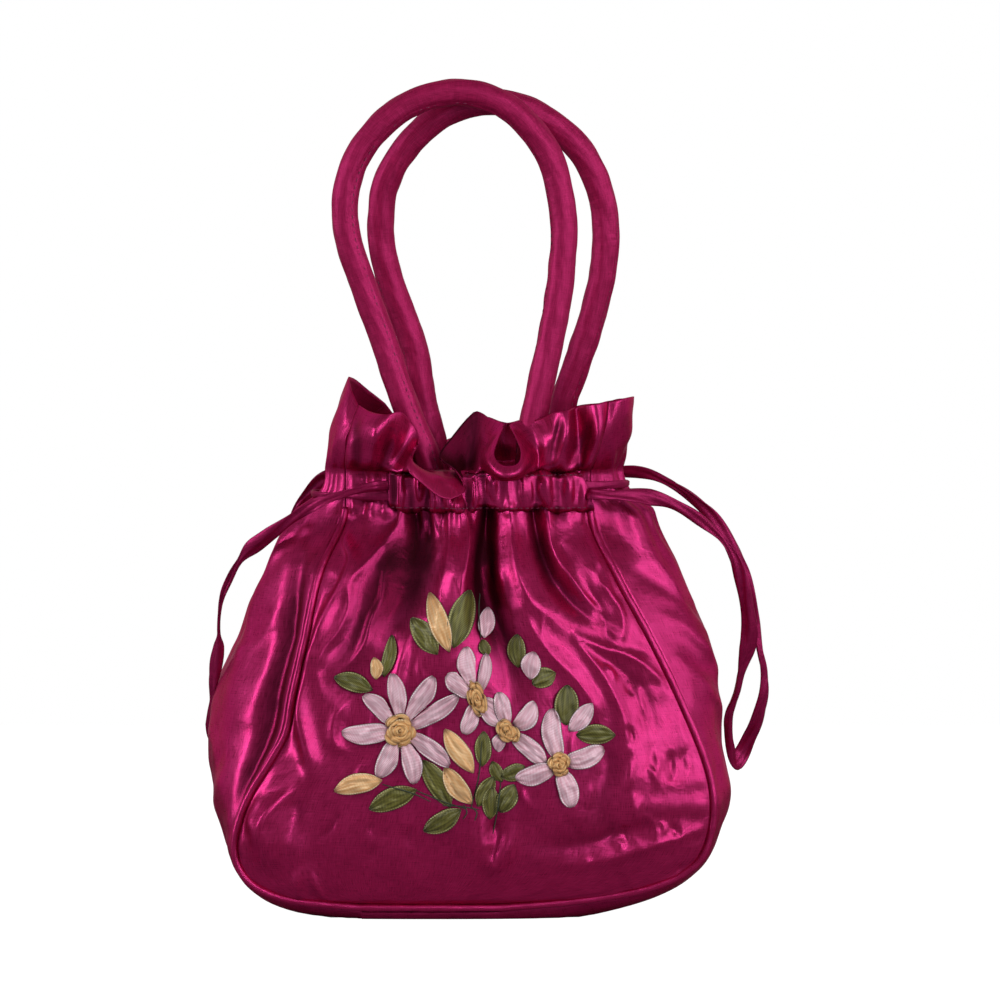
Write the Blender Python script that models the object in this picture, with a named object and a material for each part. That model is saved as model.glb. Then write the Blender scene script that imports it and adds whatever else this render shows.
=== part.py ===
"""A satin drawstring pouch with two padded handles and ribbon daisies on its front.

Metres, +Z up. The front faces -Y and the gusset stands flat on z = 0.
"""

import math

import bmesh
import bpy
from mathutils import Vector
from mathutils.bvhtree import BVHTree

# Overall sizes
BODY_WIDTH = 0.209
BODY_DEPTH = 0.075
CASING_HEIGHT = 0.171
FRILL = 0.034
FRONT_PUFF = 0.012

# Cloth and seams
CLOTH = 0.0012
GAP = 0.0003
SEAM_EDGE = 0.0006
SEAM_RISE = 0.03
PIPING_DIAMETER = 0.003
PIPING_PLAY = 0.0008
PIPING_STOP = 0.003

# Casing and drawstrings
CASING_BAND = 0.016
CASING_RIPPLE = 0.0016
STRING_DIAMETER = 0.0036
STRING_PLAY = 0.0009
STRING_APART = 0.0007
STRING_POINT_SPACING = 0.0065
RING_END = 0.97
RING_HOME = 0.02
CASING_LEFT_END = 0.19
CASING_RIGHT_END = 0.98
CASING_SEAT = 0.0001

# Gathers
PANEL_FOLDS = 5
LEFT_GUSSET_FOLDS = 1
RIGHT_GUSSET_FOLDS = 2
COLUMNS_PER_FOLD = 7
GUSSET_COLUMNS = 12
BASE_COLUMNS = 6
PANEL_ROUNDNESS = 2.2
SIDE_ROUNDNESS = 2.4
BASE_ROUNDNESS = 6.0
TURN_RISE = 0.27
ROUNDING_RISE = 0.17
SLOPE_STEP = 0.01
HEIGHT_STEP = 0.002

# Handles
HANDLE_DIAMETER = 0.0106
HANDLE_RISE = 0.159
HANDLE_FOOT = 0.010
HANDLE_TOP_APART = 0.014
HANDLE_POINT_SPACING = 1.35
FOOT_REACH = 1.3
FOOT_LEVELS = 9
FOOT_PLACES = (-0.8, -0.5, 0.0, 0.5, 0.8)

# Ribbon embroidery
RIBBON_WIDTH = 0.0072
RIBBON_THICK = 0.0003
CENTRE_HEIGHT = 0.0022
EMBROIDERY_HEIGHT = 0.080
HUB_SHARE = 0.42
WIDEST_PETAL_ANGLE = 1.0
PETAL_APART = 0.94

HALF_WIDTH = BODY_WIDTH / 2
HALF_DEPTH = BODY_DEPTH / 2
HEM_HEIGHT = CASING_HEIGHT + FRILL
BODY_TOP = CASING_HEIGHT - CASING_BAND / 2
FRILL_FOOT = CASING_HEIGHT + CASING_BAND / 2
PIPING_TOP = BODY_TOP - PIPING_STOP
STRING_SPACING = STRING_DIAMETER + STRING_APART
FRONT = -1
BACK = 1
LEFT = -1
RIGHT = 1

# Each outline is a smooth curve through (rise, share) points. The rise is 0 on the floor, 1 all over the casing,
# where the drawstrings hold the neck, and 2 at the hem. Widths are shares of half the body's width, depths of half
# its depth.
FRONT_LEFT = (
    (0.03, -0.40), (0.045, -0.64), (0.077, -0.79), (0.13, -0.865), (0.20, -0.88), (0.30, -0.83),
    (0.40, -0.735), (0.46, -0.685), (0.56, -0.655), (0.69, -0.61), (0.85, -0.555), (1.0, -0.46), (2.0, -0.45),
)
FRONT_RIGHT = (
    (0.03, 0.14), (0.045, 0.42), (0.077, 0.70), (0.13, 0.87), (0.20, 0.935), (0.30, 0.95),
    (0.40, 0.915), (0.56, 0.81), (0.69, 0.71), (0.85, 0.575), (1.0, 0.48), (2.0, 0.52),
)
BACK_LEFT = (
    (0.03, -0.45), (0.045, -0.66), (0.077, -0.78), (0.13, -0.86), (0.20, -0.91), (0.30, -0.93),
    (0.46, -0.89), (0.69, -0.77), (0.85, -0.64), (1.0, -0.46), (2.0, -0.45),
)
BACK_RIGHT = (
    (0.03, 0.30), (0.045, 0.52), (0.077, 0.72), (0.13, 0.85), (0.20, 0.90), (0.30, 0.92),
    (0.46, 0.88), (0.69, 0.77), (0.85, 0.62), (1.0, 0.48), (2.0, 0.52),
)
LEFT_DEPTH = ((0.03, 0.93), (0.13, 0.97), (0.30, 1.0), (0.69, 0.95), (0.85, 0.75), (1.0, 0.30), (2.0, 0.36))
RIGHT_DEPTH = ((0.03, 0.93), (0.13, 0.97), (0.30, 1.0), (0.69, 0.95), (0.85, 0.82), (1.0, 0.53), (2.0, 0.56))
PANEL_PUFF = (
    (0.03, 0.10), (0.077, 0.35), (0.13, 0.55), (0.20, 0.75), (0.30, 0.95), (0.46, 1.0), (0.69, 0.95),
    (0.85, 0.85), (1.0, 0.87), (2.0, 1.0),
)
LEFT_PUFF = (
    (0.03, 0.09), (0.045, 0.075), (0.077, 0.06), (0.13, 0.045), (0.20, 0.050), (0.30, 0.085), (0.40, 0.145),
    (0.56, 0.175), (0.69, 0.175), (0.85, 0.15), (1.0, 0.08), (2.0, 0.08),
)
RIGHT_PUFF = (
    (0.03, 0.09), (0.045, 0.075), (0.077, 0.06), (0.13, 0.05), (0.20, 0.06), (0.30, 0.09), (0.40, 0.105),
    (0.56, 0.14), (0.69, 0.165), (0.85, 0.195), (1.0, 0.16), (2.0, 0.12),
)
BODY_ROWS = (0.03, 0.045, 0.077, 0.13, 0.20, 0.30, 0.40, 0.52, 0.64, 0.76, 0.87)
FRILL_ROWS = (0.22, 0.60, 1.0)

# The hem's height above the casing at places across a panel, as a share of FRILL. It dips where the mouth lies open.
FRONT_HEM = (
    (-1.0, 1.0), (-0.75, 0.98), (-0.50, 0.80), (-0.25, 0.60), (0.0, 0.92), (0.2, 0.86), (0.5, 0.93), (0.8, 1.06),
    (1.0, 1.08),
)
BACK_HEM = (
    (-1.0, 1.10), (-0.75, 1.0), (-0.45, 0.88), (-0.15, 0.98), (0.15, 0.90), (0.45, 1.0), (0.75, 0.92), (1.0, 1.06),
)
LEFT_HEM = ((-1.0, 1.0), (-0.4, 1.16), (0.2, 1.18), (1.0, 1.10))
RIGHT_HEM = ((-1.0, 1.08), (0.0, 1.14), (1.0, 1.06))

# How far a gather's ridge stands out and its valley goes in, in metres, at a rise.
RIDGE = ((0.65, 0.0), (0.84, 0.0010), (1.0, 0.0), (1.22, 0.0035), (2.0, 0.0085))
VALLEY = ((0.63, 0.0), (0.84, 0.0014), (1.0, 0.0034), (2.0, 0.0022))

# The hanging stretch of each drawstring, from the open end of the front casing to that of the back casing.
LEFT_LOOP = (
    (-0.042, -0.0235, 0.1735), (-0.056, -0.0175, 0.1705), (-0.066, -0.0100, 0.1650), (-0.075, -0.0060, 0.1570),
    (-0.087, -0.0030, 0.1460), (-0.0945, 0.0005, 0.1350), (-0.0985, 0.0040, 0.1240), (-0.0995, 0.0060, 0.1120),
    (-0.1010, 0.0080, 0.1000), (-0.1030, 0.0100, 0.0880), (-0.1050, 0.0150, 0.0760), (-0.1055, 0.0215, 0.0665),
    (-0.1055, 0.0290, 0.0635), (-0.1050, 0.0345, 0.0710), (-0.1030, 0.0310, 0.0840), (-0.1005, 0.0250, 0.0970),
    (-0.0990, 0.0190, 0.1090), (-0.0975, 0.0150, 0.1220), (-0.0945, 0.0125, 0.1340), (-0.0870, 0.0110, 0.1450),
    (-0.0760, 0.0100, 0.1560), (-0.0660, 0.0120, 0.1650), (-0.0570, 0.0175, 0.1710), (-0.0450, 0.0240, 0.1735),
)
RIGHT_LOOP = (
    (0.0570, -0.0255, 0.1688), (0.0680, -0.0180, 0.1685), (0.0800, -0.0110, 0.1660), (0.0900, -0.0060, 0.1610),
    (0.1020, -0.0010, 0.1516), (0.1090, 0.0030, 0.1410), (0.1130, 0.0050, 0.1270), (0.1150, 0.0070, 0.1140),
    (0.1140, 0.0080, 0.1020), (0.1110, 0.0090, 0.0920), (0.1085, 0.0110, 0.0810), (0.1090, 0.0130, 0.0710),
    (0.1095, 0.0170, 0.0610), (0.1080, 0.0230, 0.0530), (0.1070, 0.0300, 0.0500), (0.1095, 0.0345, 0.0560),
    (0.1150, 0.0320, 0.0660), (0.1190, 0.0270, 0.0780), (0.1215, 0.0230, 0.0910), (0.1200, 0.0200, 0.1040),
    (0.1185, 0.0190, 0.1170), (0.1150, 0.0180, 0.1320), (0.1090, 0.0160, 0.1450), (0.1030, 0.0140, 0.1560),
    (0.0920, 0.0130, 0.1660), (0.0800, 0.0160, 0.1725), (0.0690, 0.0220, 0.1745), (0.0580, 0.0275, 0.1715),
)

# Handle arches above the frill: (sideways, height share of the rise above the casing).
FRONT_ARCH = (
    (-0.0200, 0.19), (-0.0308, 0.34), (-0.0415, 0.52), (-0.0476, 0.68), (-0.0455, 0.80), (-0.0348, 0.905),
    (-0.0190, 0.972), (-0.0020, 1.0), (0.0150, 0.975), (0.0280, 0.90), (0.0362, 0.79), (0.0396, 0.65),
    (0.0375, 0.48), (0.0325, 0.31), (0.0280, 0.19),
)
BACK_ARCH = (
    (-0.0164, 0.22), (-0.0215, 0.36), (-0.0300, 0.52), (-0.0340, 0.67), (-0.0310, 0.79), (-0.0190, 0.89),
    (-0.0040, 0.950), (0.0130, 0.972), (0.0300, 0.94), (0.0430, 0.865), (0.0530, 0.755), (0.0566, 0.62),
    (0.0525, 0.46), (0.0460, 0.33), (0.0425, 0.22),
)
FRONT_FEET = (1, 3)
BACK_FEET = (1, 4)

# Embroidery, in millimetres right and up from the middle of the spray. A daisy's petals are (degrees, length,
# width share), and its centre is (half length, half width, degrees).
DAISIES = (
    ("daisy_large", (-26.0, -4.8), (7.0, 6.6, 0),
     ((95, 22.9, 1.0), (54, 25.2, 1.1), (25, 26.8, 1.0), (-31, 23.9, 1.0), (-70, 22.1, 1.1), (-112, 20.6, 1.1),
      (-169, 23.2, 1.1), (130, 19.9, 1.0))),
    ("daisy_upper", (4.4, 7.2), (7.6, 3.8, 106),
     ((109, 20.7, 1.1), (74, 17.9, 0.7), (147, 15.3, 1.1), (-21, 11.0, 0.8), (-55, 15.2, 0.9), (-110, 15.3, 0.9))),
    ("daisy_middle", (16.8, -5.2), (5.6, 4.0, -54),
     ((99, 15.8, 0.9), (38, 15.7, 1.1), (-39, 19.6, 1.0), (-135, 9.0, 0.8))),
    ("daisy_right", (37.2, -18.4), (4.9, 4.9, 0),
     ((101, 22.4, 1.1), (17, 18.9, 1.1), (-74, 17.9, 1.1), (-153, 17.9, 1.1))),
)
GREEN_LEAVES = (
    ((0.4, 50.8), (-3.6, 28.0), 1.2), ((-21.2, 39.6), (-12.4, 25.2), 1.1), ((-29.2, 32.8), (-33.2, 16.4), 0.7),
    ((-52.4, 16.0), (-36.8, 12.0), 1.0), ((-38.4, -36.4), (-19.6, -28.0), 1.2), ((-17.2, -16.8), (-4.8, -34.8), 1.2),
    ((-16.8, -45.2), (-1.6, -36.8), 1.1), ((7.2, -5.2), (8.0, -19.2), 0.9), ((10.4, -17.2), (14.0, -25.6), 0.7),
    ((14.0, -23.2), (23.6, -19.2), 0.9), ((11.2, -23.2), (4.0, -34.8), 0.9), ((10.4, -27.2), (10.4, -40.4), 0.9),
    ((13.2, -37.2), (21.2, -28.0), 1.1), ((40.4, 13.2), (39.2, -2.8), 1.3), ((44.0, -6.8), (59.6, -6.0), 1.1),
    ((20.4, 33.2), (20.4, 20.0), 1.0), ((26.4, 13.6), (36.0, 17.6), 1.1), ((6.4, 31.2), (9.6, 25.2), 0.6),
)
GOLD_PETALS = (
    ((-14.4, 49.6), (-6.8, 26.4), 1.1), ((-8.4, -4.4), (4.4, -20.8), 1.1), ((-8.4, -19.6), (1.6, -34.8), 1.1),
    ((-52.4, -29.2), (-33.2, -24.8), 1.1), ((-36.4, 24.0), (-36.0, 15.2), 0.7),
)
PINK_PETALS = (
    ((8.8, 43.6), (8.4, 31.6), 0.9), ((27.2, 26.4), (23.6, 16.0), 1.1), ((41.2, -5.2), (50.4, 6.0), 1.0),
)
PETAL_OUTLINE = ((0.0, 0.42), (0.25, 0.86), (0.55, 1.0), (0.82, 0.74))
TIP_LEAST_SHARE = 0.16
SPRAY_CLEARANCE = 0.0004


def clear_scene():
    for thing in list(bpy.data.objects):
        bpy.data.objects.remove(thing, do_unlink=True)


def make_material(name, colour, roughness, metallic=0.0):
    material = bpy.data.materials.new(name)
    material.use_nodes = True
    shader = material.node_tree.nodes["Principled BSDF"]
    shader.inputs["Base Color"].default_value = (*colour, 1.0)
    shader.inputs["Roughness"].default_value = roughness
    shader.inputs["Metallic"].default_value = metallic
    material.diffuse_color = (*colour, 1.0)
    return material


def smooth(outline, at):
    """The smooth curve through an outline's points, read at one place."""
    xs = [point[0] for point in outline]
    ys = [point[1] for point in outline]
    if at <= xs[0]:
        return ys[0]
    if at >= xs[-1]:
        return ys[-1]
    low = max(i for i, x in enumerate(xs) if x <= at)
    width = xs[low + 1] - xs[low]

    def slope(i):
        before, after = max(i - 1, 0), min(i + 1, len(xs) - 1)
        return (ys[after] - ys[before]) / (xs[after] - xs[before])

    t = (at - xs[low]) / width
    start, end = ys[low], ys[low + 1]
    return (
        start * (2 * t**3 - 3 * t**2 + 1)
        + width * slope(low) * (t**3 - 2 * t**2 + t)
        + end * (3 * t**2 - 2 * t**3)
        + width * slope(low + 1) * (t**3 - t**2)
    )


def straight(outline, at):
    """The broken line through an outline's points, read at one place."""
    for (x0, y0), (x1, y1) in zip(outline, outline[1:]):
        if at <= x1:
            return y0 + (y1 - y0) * max(at - x0, 0.0) / (x1 - x0)
    return outline[-1][1]


def rise_at(height):
    if height <= BODY_TOP:
        return height / BODY_TOP
    return 1 + max(height - FRILL_FOOT, 0.0) / (HEM_HEIGHT - FRILL_FOOT)


def row_heights():
    """Heights of the cloth's rows, from the bottom seam to the hem."""
    body = [rise * BODY_TOP for rise in BODY_ROWS]
    frill = [FRILL_FOOT + rise * (HEM_HEIGHT - FRILL_FOOT) for rise in FRILL_ROWS]
    return [*body, PIPING_TOP, BODY_TOP, FRILL_FOOT, *frill]


def hemmed(point, outline, across):
    """A point of the frill at the height that its hem gives it. Points under the frill stay."""
    above = point.z - FRILL_FOOT
    if above <= 0:
        return point
    return Vector((point.x, point.y, FRILL_FOOT + above * smooth(outline, across)))


def seam_point(face, side, height):
    """Where a panel meets the gusset."""
    rise = rise_at(height)
    outline = {
        (FRONT, LEFT): FRONT_LEFT, (FRONT, RIGHT): FRONT_RIGHT, (BACK, LEFT): BACK_LEFT, (BACK, RIGHT): BACK_RIGHT,
    }[face, side]
    depth = LEFT_DEPTH if side == LEFT else RIGHT_DEPTH
    return Vector((smooth(outline, rise) * HALF_WIDTH, face * smooth(depth, rise) * HALF_DEPTH, height))


def panel_base(face, height, across):
    """A panel's surface without its gathers. across runs from -1 at the left seam to 1 at the right seam."""
    left, right = seam_point(face, LEFT, height), seam_point(face, RIGHT, height)
    point = left.lerp(right, (across + 1) / 2)
    point.y += face * FRONT_PUFF * smooth(PANEL_PUFF, rise_at(height)) * (1 - abs(across) ** PANEL_ROUNDNESS)
    return point


def panel_normal(face, height, across):
    """Level and outward from the panel's surface without its gathers."""
    along = panel_base(face, height, across + SLOPE_STEP) - panel_base(face, height, across - SLOPE_STEP)
    return Vector((along.y, -along.x, 0.0)).normalized() * -face


def gather(height, across, folds):
    """How far the gathers move the cloth outwards."""
    wave = math.sin(math.pi * folds * (across + 1))
    rise = rise_at(height)
    return straight(RIDGE, rise) * max(wave, 0.0) - straight(VALLEY, rise) * max(-wave, 0.0)


def panel_point(face, height, across, out=0.0):
    shift = gather(height, across, PANEL_FOLDS) + out
    point = panel_base(face, height, across) + panel_normal(face, height, across) * shift
    return hemmed(point, FRONT_HEM if face == FRONT else BACK_HEM, across)


def side_direction(side, rise):
    """The way the gusset bulges: sideways on the sides, turning to straight down under the base."""
    turn = min(max((rise - SEAM_RISE) / TURN_RISE, 0.0), 1.0)
    angle = math.pi / 2 * (1 - turn) ** 2
    return Vector((side * math.cos(angle), 0.0, -math.sin(angle)))


def strip_point(front, back, direction, puff, across, roundness):
    point = front.lerp(back, (across + 1) / 2)
    return point + direction * puff * (1 - abs(across) ** roundness)


def gusset_base(side, height, across):
    """The gusset's surface on one side without its gathers. across runs from -1 in front to 1 behind."""
    rise = rise_at(height)
    puff = smooth(LEFT_PUFF if side == LEFT else RIGHT_PUFF, rise) * HALF_WIDTH
    turned = min(max((rise - SEAM_RISE) / ROUNDING_RISE, 0.0), 1.0)
    roundness = BASE_ROUNDNESS + (SIDE_ROUNDNESS - BASE_ROUNDNESS) * turned
    front, back = seam_point(FRONT, side, height), seam_point(BACK, side, height)
    return strip_point(front, back, side_direction(side, rise), puff, across, roundness)


def gusset_point(side, height, across, out=0.0):
    direction = side_direction(side, rise_at(height))
    along = gusset_base(side, height, across + SLOPE_STEP) - gusset_base(side, height, across - SLOPE_STEP)
    normal = (direction * along.y - Vector((0, 1, 0)) * along.dot(direction)).normalized()
    folds = LEFT_GUSSET_FOLDS if side == LEFT else RIGHT_GUSSET_FOLDS
    point = gusset_base(side, height, across) + normal * (gather(height, across, folds) + out)
    return hemmed(point, LEFT_HEM if side == LEFT else RIGHT_HEM, across)


def base_point(along, across):
    """The gusset under the base, where along runs from 0 at the left to 1 at the right."""
    height = row_heights()[0]
    front = panel_base(FRONT, height, 2 * along - 1)
    back = panel_base(BACK, height, 2 * along - 1)
    return strip_point(front, back, Vector((0, 0, -1)), LEFT_PUFF[0][1] * HALF_WIDTH, across, BASE_ROUNDNESS)


def edge_clearance(height):
    """Free cloth between a seam line and the edge of a piece: room for the piping, or a plain seam above it."""
    return PIPING_DIAMETER / 2 + PIPING_PLAY if height <= PIPING_TOP + 1e-6 else SEAM_EDGE


def panel_columns(face, height):
    """Places across a panel, from just inside its left seam to just inside its right seam."""
    left, right = seam_point(face, LEFT, height), seam_point(face, RIGHT, height)
    ends = []
    for side in (LEFT, RIGHT):
        above = seam_point(face, side, height + HEIGHT_STEP)
        below = seam_point(face, side, max(height - HEIGHT_STEP, row_heights()[0]))
        lean = (above.x - below.x) / (above.z - below.z)
        inset = edge_clearance(height) * math.sqrt(1 + lean**2)
        if height == row_heights()[0]:
            inset = 0.0
        ends.append(side * (1 - 2 * inset / (right - left).length))
    count = PANEL_FOLDS * COLUMNS_PER_FOLD
    return [ends[0] + (ends[1] - ends[0]) * i / count for i in range(count + 1)]


def apply_material(thing, material):
    thing.data.materials.append(material)
    return thing


def sheet(name, rows, material, thick=CLOTH, outward=False):
    """A cloth sheet through a grid of points, whose faces point out of the bag. The thickness is laid inwards."""
    mesh = bpy.data.meshes.new(name)
    form = bmesh.new()
    grid = [[form.verts.new(point) for point in row] for row in rows]
    for low, high in zip(grid, grid[1:]):
        for corner in zip(low, low[1:], high[1:], high):
            form.faces.new(corner)
    form.to_mesh(mesh)
    form.free()
    mesh.shade_smooth()
    thing = bpy.data.objects.new(name, mesh)
    bpy.context.collection.objects.link(thing)
    wall = thing.modifiers.new("Cloth thickness", "SOLIDIFY")
    wall.thickness = thick
    wall.offset = 1 if outward else -1
    wall.use_even_offset = False
    return apply_material(thing, material)


def tube(name, points, diameter, material, sides=2):
    """A round cord along points, with closed ends."""
    curve = bpy.data.curves.new(name, "CURVE")
    curve.dimensions = "3D"
    curve.bevel_depth = diameter / 2
    curve.bevel_resolution = sides
    curve.use_fill_caps = True
    spline = curve.splines.new("POLY")
    spline.points.add(len(points) - 1)
    for knot, point in zip(spline.points, points):
        knot.co = (*point, 1.0)
    thing = bpy.data.objects.new(name, curve)
    bpy.context.collection.objects.link(thing)
    return apply_material(thing, material)


def through(points, spacing):
    """Points at about an even spacing on the smooth curve through a route's own points."""
    ends = [points[0] * 2 - points[1], *points, points[-1] * 2 - points[-2]]
    fine = []
    for before, start, end, after in zip(ends, ends[1:], ends[2:], ends[3:]):
        for i in range(12):
            t = i / 12
            fine.append(0.5 * (
                2 * start + (end - before) * t + (2 * before - 5 * start + 4 * end - after) * t**2
                + (3 * start - before - 3 * end + after) * t**3
            ))
    fine.append(points[-1])
    length = sum((b - a).length for a, b in zip(fine, fine[1:]))
    wanted = length / max(round(length / spacing), 1)
    route, run = [fine[0]], 0.0
    for a, b in zip(fine, fine[1:]):
        piece = (b - a).length
        while run + piece >= wanted and len(route) * wanted < length - wanted / 2:
            share = (wanted - run) / piece
            a = a.lerp(b, share)
            piece = (b - a).length
            route.append(a.copy())
            run = 0.0
        run += piece
    return route + [fine[-1]]


def make_panel(face, name, material):
    rows = []
    for height in row_heights():
        row = [panel_point(face, height, place) for place in panel_columns(face, height)]
        if height == row_heights()[0]:
            row = [point + Vector((0, 0, edge_clearance(height))) for point in row]
        rows.append(row if face == FRONT else row[::-1])
    return sheet(name, rows, material)


def make_gusset(material):
    """One strip: down the left side, under the base and up the right side."""
    heights = row_heights()

    def places(height, half_depth):
        inset = 1 - edge_clearance(height) / half_depth
        return [inset * (2 * i / GUSSET_COLUMNS - 1) for i in range(GUSSET_COLUMNS + 1)]

    def side_row(side, height):
        half_depth = (seam_point(FRONT, side, height) - seam_point(BACK, side, height)).length / 2
        return [gusset_point(side, height, place) for place in places(height, half_depth)]

    across_base = places(heights[0], seam_point(BACK, LEFT, heights[0]).y)
    rows = [side_row(LEFT, height) for height in reversed(heights)]
    rows += [[base_point(i / BASE_COLUMNS, place) for place in across_base] for i in range(1, BASE_COLUMNS)]
    rows += [side_row(RIGHT, height) for height in heights]
    for row in rows:
        for point in row:
            point.z = max(point.z, 0.0)
    return sheet("gusset", rows, material)


def make_piping(face, name, material):
    heights = [height for height in row_heights() if height <= PIPING_TOP + 1e-6]
    left = [seam_point(face, LEFT, height) for height in reversed(heights)]
    under = [panel_base(face, heights[0], 2 * i / BASE_COLUMNS - 1) for i in range(1, BASE_COLUMNS)]
    right = [seam_point(face, RIGHT, height) for height in heights]
    return tube(name, left + under + right, PIPING_DIAMETER, material, sides=1)


def make_casing(face, name, material):
    """A strip over the drawstrings, stitched along its two edges to the gathered panel."""
    columns = panel_columns(face, CASING_HEIGHT)
    last = len(columns) - 1
    across = columns[round(CASING_LEFT_END * last):round(CASING_RIGHT_END * last) + 1]
    neck = seam_point(face, RIGHT, CASING_HEIGHT) - seam_point(face, LEFT, CASING_HEIGHT)
    fold_length = neck.length / PANEL_FOLDS
    steepest = math.pi * straight(VALLEY, 1.0) / (fold_length / 2)
    seat = CASING_SEAT + GAP * math.sqrt(1 + steepest**2)
    room = STRING_DIAMETER + 2 * STRING_PLAY
    tunnel = (STRING_SPACING + STRING_DIAMETER) / 2 + STRING_PLAY
    stitched = CASING_BAND / 2 - CLOTH
    rows = []
    for offset in (-stitched, -tunnel, tunnel, stitched):
        height = CASING_HEIGHT + offset
        if abs(offset) > tunnel:
            row = [panel_point(face, height, place, seat) for place in across]
        else:
            row = []
            for place in across:
                ripple = CASING_RIPPLE * max(math.sin(math.pi * PANEL_FOLDS * (place + 1)), 0.0)
                row.append(panel_base(face, height, place) + panel_normal(face, height, place) * (room + ripple))
        rows.append(row if face == FRONT else row[::-1])
    return sheet(name, rows, material, outward=True)


def panel_route(height, start, end, face):
    """Points across a panel's neck just outside the cloth, on the level of one drawstring."""
    out = STRING_DIAMETER / 2 + STRING_PLAY
    steps = 9
    places = [start + (end - start) * i / steps for i in range(steps + 1)]
    return [panel_base(face, height, place) + panel_normal(face, height, place) * out for place in places]


def gusset_route(side, height):
    """Points over the gusset's neck just outside the cloth, from the front to the back."""
    out = STRING_DIAMETER / 2 + STRING_PLAY
    folds = LEFT_GUSSET_FOLDS if side == LEFT else RIGHT_GUSSET_FOLDS
    places = [-0.88, -0.68, -0.44, -0.2, 0.0, 0.2, 0.44, 0.68, 0.88]
    return [gusset_point(side, height, place, out - gather(height, place, folds)) for place in places]


def make_drawstring(side, name, loop, material):
    """Out of the front casing, round the hanging loop, through the back casing and over the far gusset."""
    height = CASING_HEIGHT - side * STRING_SPACING / 2
    near = 2 * (CASING_LEFT_END if side == LEFT else CASING_RIGHT_END) - 1
    away = -side * RING_END
    out = panel_route(height, 0.0, near, FRONT)
    loop = [Vector(point) for point in loop]
    back = panel_route(height, near, away, BACK)
    over = gusset_route(-side, height)[::-1]
    home = panel_route(height, away, RING_HOME, FRONT)
    return tube(name, through(out + loop + back + over + home, STRING_POINT_SPACING), STRING_DIAMETER, material)


def surface_of(thing):
    bpy.context.view_layer.update()
    return BVHTree.FromObject(thing, bpy.context.evaluated_depsgraph_get())


def fold_valley(number):
    """The place across a panel of one gather's valley, counted from the left."""
    return (1.5 + 2 * number) / PANEL_FOLDS - 1


def make_handle(face, name, arch, feet, cloths, material):
    """A padded tube whose feet are sewn to the inside of the panel, each in the valley of a gather."""
    walls = [surface_of(cloth) for cloth in cloths]
    radius = HANDLE_DIAMETER / 2
    foot_height = CASING_HEIGHT - HANDLE_FOOT
    straight_part = HANDLE_FOOT + CASING_BAND / 2

    def foot(number):
        place = panel_base(face, CASING_HEIGHT, fold_valley(number))
        reach = []
        for i in range(FOOT_LEVELS):
            height = foot_height + straight_part * FOOT_REACH * i / (FOOT_LEVELS - 1)
            for share in FOOT_PLACES:
                start = Vector((place.x + share * radius, 0.0, height))
                for wall in walls:
                    hit = wall.ray_cast(start, Vector((0, face, 0)))[0]
                    if hit:
                        reach.append(abs(hit.y) - radius * math.sqrt(1 - share**2))
        return Vector((place.x, face * (min(reach) - GAP), foot_height))

    left, right = foot(feet[0]), foot(feet[1])
    up = Vector((0, 0, straight_part))
    top_y = face * HANDLE_TOP_APART / 2
    middle = []
    for sideways, share in arch:
        lean = min(share, 1.0)
        middle.append(Vector((sideways, left.y + (top_y - left.y) * lean, CASING_HEIGHT + share * HANDLE_RISE)))
    route = [left, left + up * 0.5, left + up, *middle, right + up, right + up * 0.5, right]
    spacing = HANDLE_DIAMETER * HANDLE_POINT_SPACING
    return tube(name, through(route, spacing), HANDLE_DIAMETER, material, sides=3)


class Spray:
    """Ribbon stitches laid on the front panel, each one clear of the panel and of the stitches under it."""

    def __init__(self, panel):
        self.panel = surface_of(panel)
        self.laid = [self.panel]

    def height_at(self, x, z, layers):
        """The outermost y of the layers at a place, or None beside them."""
        start = Vector((x, -1.0, z))
        hits = [layer.ray_cast(start, Vector((0, 1, 0)))[0] for layer in layers]
        return min((hit.y for hit in hits if hit), default=None)

    def drape(self, points):
        """The (x, z) points as they lie on the panel."""
        return [Vector((x, self.height_at(x, z, [self.panel]), z)) for x, z in points]

    def lift_for(self, faces):
        """How far the faces have to move out to be clear of everything under them."""
        lift = 0.0
        steps = 5
        for face in faces:
            middle = sum(face, Vector()) / len(face)
            wide = [corner + (corner - middle).normalized() * SPRAY_CLEARANCE for corner in face]
            for corner, following in zip(wide, wide[1:] + wide[:1]):
                for i in range(steps):
                    edge = corner.lerp(following, i / steps)
                    for j in range(steps):
                        place = middle.lerp(edge, (j + 1) / steps)
                        under = self.height_at(place.x, place.z, self.laid)
                        if under is not None:
                            lift = max(lift, place.y - under)
        return lift + SPRAY_CLEARANCE

    def lay(self, name, faces, material, thick=RIBBON_THICK):
        """One flat piece made of faces that share their corners."""
        lift = Vector((0, -self.lift_for(faces), 0))
        mesh = bpy.data.meshes.new(name)
        form = bmesh.new()
        for face in faces:
            form.faces.new([form.verts.new(corner + lift) for corner in face])
        bmesh.ops.remove_doubles(form, verts=form.verts, dist=1e-6)
        bmesh.ops.recalc_face_normals(form, faces=form.faces)
        if sum(face.normal.y * face.calc_area() for face in form.faces) > 0:
            bmesh.ops.reverse_faces(form, faces=form.faces)
        form.to_mesh(mesh)
        form.free()
        thing = bpy.data.objects.new(name, mesh)
        bpy.context.collection.objects.link(thing)
        wall = thing.modifiers.new("Ribbon thickness", "SOLIDIFY")
        wall.thickness = thick
        wall.offset = 1
        apply_material(thing, material)
        self.laid.append(surface_of(thing))
        return thing


def spray_place(right, up):
    """A place of the embroidery on the bag, from its millimetres."""
    return right / 1000, EMBROIDERY_HEIGHT + up / 1000


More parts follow.
